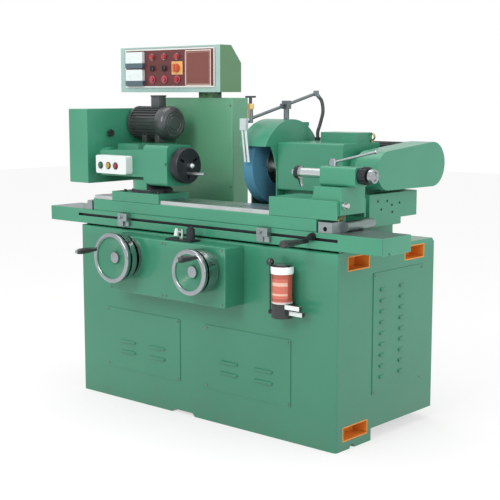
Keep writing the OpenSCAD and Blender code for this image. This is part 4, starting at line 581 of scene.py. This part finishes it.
# Control panel. A folded sheet console on a short neck, with pale edges at the front where the paint is
# rubbed through to its primer.
console = Finish("console enamel")
side_tone = console.blend(console.noise(3.0, 4.0), (0.115, 0.250, 0.120), (0.092, 0.215, 0.108))
py = console.axes()[1]
front_face = py < 0.0562
rub = console.noise(24.0, 4.0, 0.6)
face_tone = console.blend(rub, (0.36, 0.52, 0.49), (0.26, 0.44, 0.38))
panel_paint = console.surface(console.blend(front_face, side_tone, face_tone), 0.34 + 0.1 * rub, 0.0,
                              console.relief(console.noise(380.0), 0.0001), Coat_Weight=0.2)
from_solid("control_panel", panel_paint, 0.0025)

# Fascia. An anodised maroon plate with a pale printed frame, and at its right end a raised name plate
# that is left bare inside its pale border.
plate = Finish("maroon fascia")
fx, _, fz = plate.axes((-0.564, 0.053, 1.516))


def frame_line(x, z, half_w, half_h, width):
    """A printed rectangle: 1 on its line."""
    outside = (x.maths("ABSOLUTE") - half_w).maths("MAXIMUM", z.maths("ABSOLUTE") - half_h)
    return outside.within(-width, 0.0)


scuff = plate.noise(12.0, 4.0, 0.6)
name_x = fx - 0.196
on_plate = (name_x.maths("ABSOLUTE") - 0.083).maths("MAXIMUM", (fz + 0.002).maths("ABSOLUTE") - 0.0825) < 0.0
tone = plate.blend(scuff, (0.150, 0.030, 0.030), (0.100, 0.020, 0.022))
tone = plate.blend(on_plate, tone, plate.blend(scuff, (0.205, 0.060, 0.048), (0.165, 0.045, 0.038)))
tone = plate.blend(frame_line(fx, fz, 0.302, 0.0925, 0.0075), tone, (0.62, 0.68, 0.66))
tone = plate.blend(frame_line(name_x, fz + 0.002, 0.083, 0.0825, 0.005), tone, (0.66, 0.55, 0.50))
tone = plate.blend(frame_line(name_x, fz + 0.002, 0.073, 0.0725, 0.0012), tone, (0.50, 0.33, 0.29))
fascia_finish = plate.surface(tone, 0.30 + 0.12 * scuff, 0.0, plate.relief(plate.noise(600.0), 0.00005))
from_solid("panel_fascia", fascia_finish, 0.0004)

# Meters, lamps, rings and switch plate. White meter scales with a dark cover strip and a thin needle, red
# lamp lenses in bright bezels, pink plastic rings and a yellow plate behind the main switch.
meter = Finish("meter face")
mx, _, mz = meter.axes((-0.787, 0.04, 0.0))
local = mz - (1.472 + 0.084 * (mz > 1.514))
spread = mx.maths("ARCTAN2", local + 0.045)
reach = ((mx * mx) + (local + 0.045) * (local + 0.045)).maths("SQRT")
ticks = (spread * 9.5).maths("FRACT").maths("COMPARE", 0.5, 0.09) * reach.within(0.058, 0.064) * \
    spread.maths("ABSOLUTE").maths("LESS_THAN", 0.72)
needle = (spread + 0.52).maths("ABSOLUTE").maths("LESS_THAN", 0.012) * reach.within(0.028, 0.060)
strip = local < -0.0145
edge_line = frame_line(mx, local, 0.0605, 0.0395, 0.0022)
ink = (ticks.maths("MAXIMUM", needle) * 0.45).maths("MAXIMUM", edge_line * 0.35)
pale = meter.blend(meter.noise(20.0), (0.74, 0.80, 0.80), (0.66, 0.73, 0.73))
tone = meter.blend(ink, pale, (0.03, 0.04, 0.045))
tone = meter.blend(strip, tone, (0.055, 0.100, 0.130))
meter_finish = meter.surface(tone, 0.12 + 0.05 * meter.noise(40.0), Coat_Weight=0.6, Coat_Roughness=0.03)


def plain_plastic(name, first, second, roughness=0.22, coat=0.4):
    resin = Finish(name)
    swirl = resin.noise(45.0, 3.0)
    return resin.surface(resin.blend(swirl, first, second), roughness + 0.12 * swirl, 0.0,
                         resin.relief(resin.noise(420.0), 0.00006), Coat_Weight=coat)


red_lens = plain_plastic("red lens", (0.42, 0.012, 0.014), (0.30, 0.008, 0.010), 0.08, 0.8)
pink_ring = plain_plastic("pink plastic", (0.50, 0.085, 0.120), (0.40, 0.060, 0.090))
switch_yellow = plain_plastic("yellow plate", (0.78, 0.44, 0.16), (0.66, 0.34, 0.10))


def instrument(centre, normal):
    if centre.x < -0.70:
        return 0
    if centre.z > 1.55:
        return 1 if centre.y < 0.0479 else 2
    return 4 if centre.z > 1.482 else 3


from_solid("panel_instruments", [meter_finish, red_lens, chrome, pink_ring, switch_yellow], 0.0009,
           parts=instrument)
from_solid("speed_knob", black_plastic, 0.0008)
from_solid("timer_knob", black_plastic, 0.0008)
switch_red = plain_plastic("orange red switch", (0.60, 0.10, 0.025), (0.46, 0.07, 0.02))
from_solid("main_switch", switch_red, 0.001)
from_solid("start_push", plain_plastic("dark pink push", (0.38, 0.05, 0.075), (0.30, 0.04, 0.06)), 0.001)
from_solid("inch_push", plain_plastic("blush push", (0.42, 0.06, 0.08), (0.32, 0.045, 0.065)), 0.001)
from_solid("stop_push", plain_plastic("red push", (0.42, 0.012, 0.016), (0.30, 0.010, 0.012)), 0.001)

# Sliding table. A planed casting, enamelled on its front and ends, with a bare front tee slot and bare
# ledges at both ends of the upper table.
bare_iron = Finish("planed iron")
planing = bare_iron.noise(90.0, 3.0, 0.5, stretch=(0.04, 1.0, 1.0))
oil_film = bare_iron.noise(5.0, 5.0, 0.65)
planed_iron = bare_iron.surface(bare_iron.blend(oil_film, (0.34, 0.40, 0.38), (0.16, 0.22, 0.21)),
                                0.26 + 0.2 * planing, 0.85, bare_iron.relief(planing, 0.0002))


table_top = 0.864
slot_low, slot_high, slot_depth = 0.828, 0.846, 0.020


def table_part(centre, normal):
    if normal.z > 0.9 and centre.z > table_top - hair:
        return 1
    in_slot = slot_low < centre.z < slot_high and front + hair < centre.y < front + slot_depth
    return 2 if in_slot else 0


from_solid("sliding_table", [enamel, planed_iron, black_steel], 0.002, parts=table_part)

# Clamps and dogs. Machined steel blocks, blued a little by oil, with hexagon bolts; the wing screw on the
# right clamp is brass and the cross roll is planed iron.
pale_steel = Finish("machined steel")
mill = pale_steel.noise(70.0, 3.0, 0.5, stretch=(1.0, 1.0, 0.15))
block_steel = pale_steel.surface(
    pale_steel.blend(pale_steel.noise(12.0), (0.42, 0.47, 0.47), (0.22, 0.27, 0.28)),
    0.25 + 0.18 * mill, 0.9, pale_steel.relief(mill, 0.0002))
yellow_metal = Finish("brass")
tarnish = yellow_metal.noise(30.0, 4.0, 0.6)
brass = yellow_metal.surface(yellow_metal.blend(tarnish, (0.62, 0.42, 0.17), (0.36, 0.24, 0.10)),
                             0.20 + 0.2 * tarnish, 1.0, yellow_metal.relief(tarnish, 0.0001))


clamp_top, wing_x, roll_y = 0.9062, 0.69, -0.2728


def clamp_part(centre, normal):
    if centre.x > wing_x and centre.z > clamp_top:
        return 1
    return 2 if centre.y > roll_y and centre.x > 0 else 0


from_solid("table_end_clamps", [block_steel, brass, planed_iron], 0.0012, parts=clamp_part)
from_solid("left_dog", block_steel, 0.0012)
from_solid("right_dog", block_steel, 0.0012)
grip_y = -0.392
from_solid("table_lever", [black_steel, black_plastic], 0.001, parts=lambda c, n: 1 if c.y < grip_y else 0)

# Swivel table. The upper table, enamelled below and ground bright along its rail, where the heads slide.
rail_z = 0.9152
from_solid("swivel_table", [enamel, ground_steel], 0.002, parts=lambda c, n: 1 if c.z > rail_z else 0)

# Workhead. Four castings and a motor: a base clamped on the rail, a swivel with a black graduated ring, a
# headstock housing, and a folded sheet guard over its belt with a black star knob.
work_y, axis_z = -0.25, 1.084
swivel_x, swivel_r, swivel_low, swivel_top = -0.365, 0.0875, 0.9585, 0.9932
nose_x = -0.1895
from_solid("workhead_base", [enamel, black_steel], 0.003, parts=lambda c, n: 1 if c.z > swivel_low else 0)


def housing_part(centre, normal):
    if centre.z < swivel_top and hypot(centre.x - swivel_x, centre.y - work_y) < swivel_r:
        return 1
    return 2 if centre.x > nose_x else 0


from_solid("workhead_housing", [enamel, black_steel, ground_steel], 0.004, parts=housing_part)
from_solid("workhead_belt_guard", enamel, 0.0025)
from_solid("guard_knob", black_plastic, 0.001)


# Motors. Finned aluminium bodies in dark grey paint, with a rounded fan cover whose end has ring slots, a
# drive end bell, feet and, on the workhead, a terminal box.
grey_paint = Finish("dark motor paint")
casting_grain = grey_paint.noise(150.0, 3.0, 0.6)
motor_grey = grey_paint.surface(
    grey_paint.blend(grey_paint.noise(9.0, 4.0), (0.088, 0.094, 0.095), (0.052, 0.057, 0.060)),
    0.24 + 0.12 * casting_grain, 0.35, grey_paint.relief(casting_grain, 0.00025), Coat_Weight=0.4)


def motor(node, start, way, length, radius, fins, boxes):
    """A finned motor along X from its drive end, with way +1 or -1."""
    shell = [(radius * share, height) for share, height in (
        (0, 0.0), (0.55, 0.0), (0.80, 0.003), (0.98, 0.008), (1, 0.013), (0.99, 0.022), (0.885, 0.024))]
    shell += [(radius * share, length - back) for share, back in (
        (0.885, 0.060), (0.985, 0.058), (1, 0.055), (1, 0.030), (0.975, 0.016), (0.90, 0.0055), (0.78, 0.0008),
        (0.70, 0), (0.66, 0.003), (0.60, 0.003), (0.57, 0), (0.50, 0), (0.47, 0.003), (0.41, 0.003), (0.38, 0),
        (0.12, 0), (0, 0))]
    body = turned(shell, 64)
    body.transform(Matrix.Translation(start) @ Matrix.Rotation(radians(90 * way), 4, "Y"))
    bmesh.ops.recalc_face_normals(body, faces=body.faces)
    show(made_of(body, node + "_shell", motor_grey, 40), body_of[node], node)
    fin = bmesh.new()
    foot, crest = radius * 0.86, radius * 0.985
    outline = ((-0.0026, foot), (-0.0013, crest), (0.0013, crest), (0.0026, foot))
    ends = [[fin.verts.new((way * x, w, h)) for w, h in outline] for x in (0.018, length - 0.057)]
    for k in range(4):
        j = (k + 1) % 4
        fin.faces.new((ends[0][k], ends[0][j], ends[1][j], ends[1][k]))
    for end in ends:
        fin.faces.new(end)
    places = [(start, (2 * pi * k / fins, 0, 0)) for k in range(fins)]
    show(repeat(node + "_fins", places, stamp_mesh(node + "_fin", fin), motor_grey), body_of[node])
    work = bmesh.new()
    for low, high in boxes:
        size = [h - l for l, h in zip(low, high)]
        middle = [(h + l) / 2 for l, h in zip(low, high)]
        bmesh.ops.create_cube(work, size=1.0, matrix=Matrix.Translation(middle) @ Matrix.Diagonal((*size, 1)))
    bmesh.ops.bevel(work, geom=work.edges[:], offset=0.0025, offset_type="OFFSET", segments=2, profile=0.6,
                    affect="EDGES")
    show(made_of(work, node + "_boxes", motor_grey), body_of[node])


head_low, head_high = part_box("workhead_motor")
mid_y, mid_z = -0.052, 1.259
lid_z = head_high.z - 0.008
feet = [((head_low.x + x, mid_y - 0.055, mid_z - 0.091), (head_low.x + x + 0.030, mid_y + 0.055, mid_z - 0.040))
        for x in (0.084, 0.169)]
terminals = [((head_low.x + 0.114, mid_y - 0.023, mid_z + 0.055), (head_low.x + 0.168, mid_y + 0.023, lid_z)),
             ((head_low.x + 0.112, mid_y - 0.025, lid_z), (head_low.x + 0.170, mid_y + 0.025, head_high.z))]
motor("workhead_motor", (head_low.x + 0.0002, mid_y, mid_z), 1, head_high.x - head_low.x - 0.0002, 0.079, 30,
      feet + terminals)
wheel_low, wheel_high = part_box("wheel_motor")
motor("wheel_motor", (wheel_high.x, 0.385, 1.096), -1, 0.286, 0.092, 34,
      [((wheel_low.x + x, 0.311, 1.001), (wheel_low.x + x + 0.034, 0.459, 1.050)) for x in (0.080, 0.189)])

# Button station. A white enamelled box on the front of the headstock, with a green, a yellow and a red
# button in dark collars.
from_solid("button_station", white_plastic, 0.003)
for duty, name, first, second in (("start", "green button", (0.012, 0.115, 0.045), (0.010, 0.085, 0.035)),
                                  ("jog", "yellow button", (0.42, 0.30, 0.030), (0.33, 0.22, 0.025)),
                                  ("stop", "dark red button", (0.26, 0.022, 0.020), (0.19, 0.018, 0.016))):
    from_solid("work_" + duty + "_button", plain_plastic(name, first, second), 0.001)
collar = turned([(0.0126, 0.0), (0.0165, 0.0), (0.0165, 0.0016), (0.0150, 0.0030), (0.0133, 0.0030),
                 (0.0126, 0.0020), (0.0126, 0.0)], 32)
collar.transform(Matrix.Rotation(radians(90), 4, "X"))
collars = repeat("button_collars", [((x, -0.368, 1.074), (0, 0, 0)) for x in (-0.578, -0.526, -0.478)],
                 stamp_mesh("collar_stamp", collar), black_plastic)
show(collars, "workhead")

# Face plate and work centre. Blackened cast plate with radial slots and a drive pin, and a hard ground
# sixty degree centre.
plate_back, plate_front = -0.1765, -0.131
from_solid("face_plate", [black_steel, ground_steel], 0.0012,
           parts=lambda c, n: 0 if plate_back <= c.x <= plate_front else 1)
from_solid("work_centre", ground_steel, 0.0004)

# Tailstock. An enamelled casting with a machined foot, a barrel with a bright sleeve and dresser arm, a
# chromed lever, and a knurled spring knob with a chromed end cap.
pedestal_right, ring_right, sleeve_r, cap_x = 0.75, 0.4945, 0.0195, 0.8315
from_solid("tailstock_base", [enamel, ground_steel], 0.003,
           parts=lambda c, n: 1 if c.x > pedestal_right + hair else 0)
from_solid("tailstock_barrel", enamel, 0.003)


def sleeve_part(centre, normal):
    past_sleeve = hypot(centre.y - work_y, centre.z - axis_z) > sleeve_r or centre.z < axis_z - 0.020
    return 1 if centre.x < ring_right and past_sleeve else 0


from_solid("tailstock_sleeve", [ground_steel, black_steel], 0.0008, parts=sleeve_part)
from_solid("tail_centre", ground_steel, 0.0004)
from_solid("sleeve_lever", chrome, 0.0006)
from_solid("spring_knob", [black_steel, chrome], 0.001, parts=lambda c, n: 1 if c.x > cap_x else 0)

# Cross slide and wheelhead. Two deep castings that carry the wheel spindle, with black cap screws along
# the slide's right side, a box for the spindle oil on top, a dark hose fitting and a yellow eyebolt.
slide_right, slide_top = 0.65, 0.985
from_solid("cross_slide", [enamel, black_steel], 0.003,
           parts=lambda c, n: 1 if c.x > slide_right + hair and c.z < slide_top else 0)
casing_top, top_box_right = 1.19, 0.5203
fitting_x, fitting_y, fitting_r = 0.228, 0.195, 0.016


def casing_part(centre, normal):
    if centre.z < casing_top + hair:
        return 0
    if centre.x > top_box_right:
        return 2
    return 1 if hypot(centre.x - fitting_x, centre.y - fitting_y) < fitting_r else 0


from_solid("wheelhead_casing", [enamel, black_steel, brass], 0.003, parts=casing_part)

# Wheel guard. Rolled and welded sheet round the wheel, open in front, black inside with painted shade of its
# hollow, mottled and bumped like wet grinding dust.
guard_inside = Finish("guard inside")
sludge = guard_inside.noise(18.0, 5.0, 0.65)
sludge_and_painted_shade = guard_inside.surface(guard_inside.blend(sludge, (0.022, 0.036, 0.032), (0.060, 0.085, 0.076)),
                                    0.55 + 0.2 * sludge, 0.0, guard_inside.relief(sludge, 0.0008))
wheel_y, wheel_mid_r = 0.055, 0.15
guard_left, guard_right = 0.055, 0.193


def guard_part(centre, normal):
    away = Vector((0, centre.y - wheel_y, centre.z - axis_z))
    inward = normal.dot(away.normalized()) < -0.6 and away.length > wheel_mid_r
    inner_wall = abs(normal.x) > 0.9 and guard_left + hair < centre.x < guard_right - hair
    return 1 if inward or inner_wall else 0


from_solid("wheel_guard", [enamel, sludge_and_painted_shade], 0.0012, parts=guard_part)
from_solid("spindle_belt_guard", enamel, 0.005)
from_solid("motor_pulley", black_steel, 0.0006)
rubber = Finish("belt rubber")
cord_marks = rubber.noise(200.0, 2.0)
belt_rubber = rubber.surface(
    rubber.blend(cord_marks, (0.022, 0.022, 0.022), (0.040, 0.040, 0.040)), 0.72, 0.0,
    rubber.relief(cord_marks, 0.0002))
from_solid("drive_belts", belt_rubber, 0.0006)

# Grinding wheel and spindle. A blue bonded wheel of coarse grit, whose rim is dressed and a little dirty,
# between ground flanges with a left hand nut.
grit = Finish("blue abrasive")
coarse = grit.node("ShaderNodeTexVoronoi", None, {0: grit.at(), "Scale": 700.0})
pores = grit.noise(330.0, 3.0, 0.7)
load = grit.noise(7.0, 4.0, 0.6)
tone = grit.blend(pores.ramp(0.42, 0.62), (0.048, 0.190, 0.300), (0.080, 0.260, 0.380))
tone = grit.blend(load.ramp(0.45, 0.8) * 0.3, tone, (0.045, 0.100, 0.130))
abrasive = grit.surface(tone, 0.78 + 0.1 * pores, 0.0, grit.relief(coarse, 0.0006, grit.relief(pores, 0.0005)))
from_solid("grinding_wheel", abrasive, 0.0008)
nut_x = 0.066
from_solid("wheel_spindle", [ground_steel, black_steel], 0.0008, parts=lambda c, n: 1 if c.x < nut_x else 0)


# Coolant line. A zinc plated pipe held by a clamp post on the guard, a brass needle valve with a black
# cross handle, and a bright block with two nozzle tubes.
valve_x, valve_y, valve_r, valve_low = 0.105, -0.115, 0.0165, 1.302
nozzle_top, nozzle_back = 1.2905, -0.128


def coolant_part(centre, normal):
    if centre.z > valve_low and hypot(centre.x - valve_x, centre.y - valve_y) < valve_r:
        return 1
    return 2 if centre.z < nozzle_top and centre.y < nozzle_back else 0


dark_pipe = Finish("zinc pipe")
dull_zinc = dark_pipe.noise(35.0, 4.0, 0.6)
zinc = dark_pipe.surface(
    dark_pipe.blend(dull_zinc, (0.23, 0.26, 0.27), (0.12, 0.14, 0.15)), 0.25 + 0.2 * dull_zinc, 0.9,
    dark_pipe.relief(dull_zinc, 0.0002))
bright_nozzle = Finish("nozzle tin")
nozzle_tin = bright_nozzle.surface(
    bright_nozzle.blend(bright_nozzle.noise(30.0), (0.66, 0.73, 0.74), (0.48, 0.56, 0.57)),
    0.30 + 0.15 * bright_nozzle.noise(60.0), 0.55, bright_nozzle.relief(bright_nozzle.noise(80.0), 0.0002))
from_solid("coolant_pipe", [zinc, brass, nozzle_tin], 0.0008, parts=coolant_part)
from_solid("coolant_valve_handle", black_plastic, 0.0008)

# Coolant hose. Smooth black rubber hose from the stub below the pipe's elbow down to its fitting on the
# wheelhead, held at both ends. Its line passes through the points of the CAD solid.
hose_r, hose_sides = 0.0078, 16
elbow, lean = Vector((0.217, 0.195, 1.396)), Vector((0.019, 0.013, -0.030))
foot = Vector((0.228, 0.195, 1.2043))
route = [elbow + lean.normalized() * 0.0228, elbow + lean]
route += [foot + Vector(step) / 1000
          for step in ((15, 14, 138), (18, 12, 108), (13, 8, 78), (6, 4, 48), (0, 0, 24), (0, 0, 0))]


def along(points, steps):
    """A smooth line of steps pieces between each two points."""
    line = []
    for k in range(len(points) - 1):
        a, b = points[max(k - 1, 0)], points[k]
        c, d = points[k + 1], points[min(k + 2, len(points) - 1)]
        for j in range(steps):
            t = j / steps
            line.append(0.5 * ((2 * b) + (c - a) * t + (2 * a - 5 * b + 4 * c - d) * t * t
                               + (3 * b - a - 3 * c + d) * t ** 3))
    return line + [points[-1]]


hose_line = along(route, 8)
hose_length = sum((b - a).length for a, b in zip(hose_line, hose_line[1:]))
hose = bmesh.new()
rings = []
for k, point in enumerate(hose_line):
    ahead = (hose_line[min(k + 1, len(hose_line) - 1)] - hose_line[max(k - 1, 0)]).normalized()
    side_way = ahead.cross(Vector((0, 1, 0))).normalized()
    other = ahead.cross(side_way)
    angles = [2 * pi * j / hose_sides for j in range(hose_sides)]
    rings.append([hose.verts.new(point + hose_r * (cos(a) * side_way + sin(a) * other)) for a in angles])
for first, second in zip(rings, rings[1:]):
    for j in range(hose_sides):
        i = (j + 1) % hose_sides
        hose.faces.new((first[j], first[i], second[i], second[j]))
hose.faces.new(rings[0][::-1])
hose.faces.new(rings[-1])
bmesh.ops.recalc_face_normals(hose, faces=hose.faces)
hose_skin = Finish("hose rubber")
bloom = hose_skin.noise(60.0, 4.0)
hose_black = hose_skin.surface(hose_skin.blend(bloom, (0.030, 0.034, 0.036), (0.060, 0.066, 0.068)), 0.5, 0.0,
                               hose_skin.relief(bloom, 0.0001))
rubber_hose = show(made_of(hose, "rubber_hose", hose_black, 60), "wheelhead", "coolant_hose")
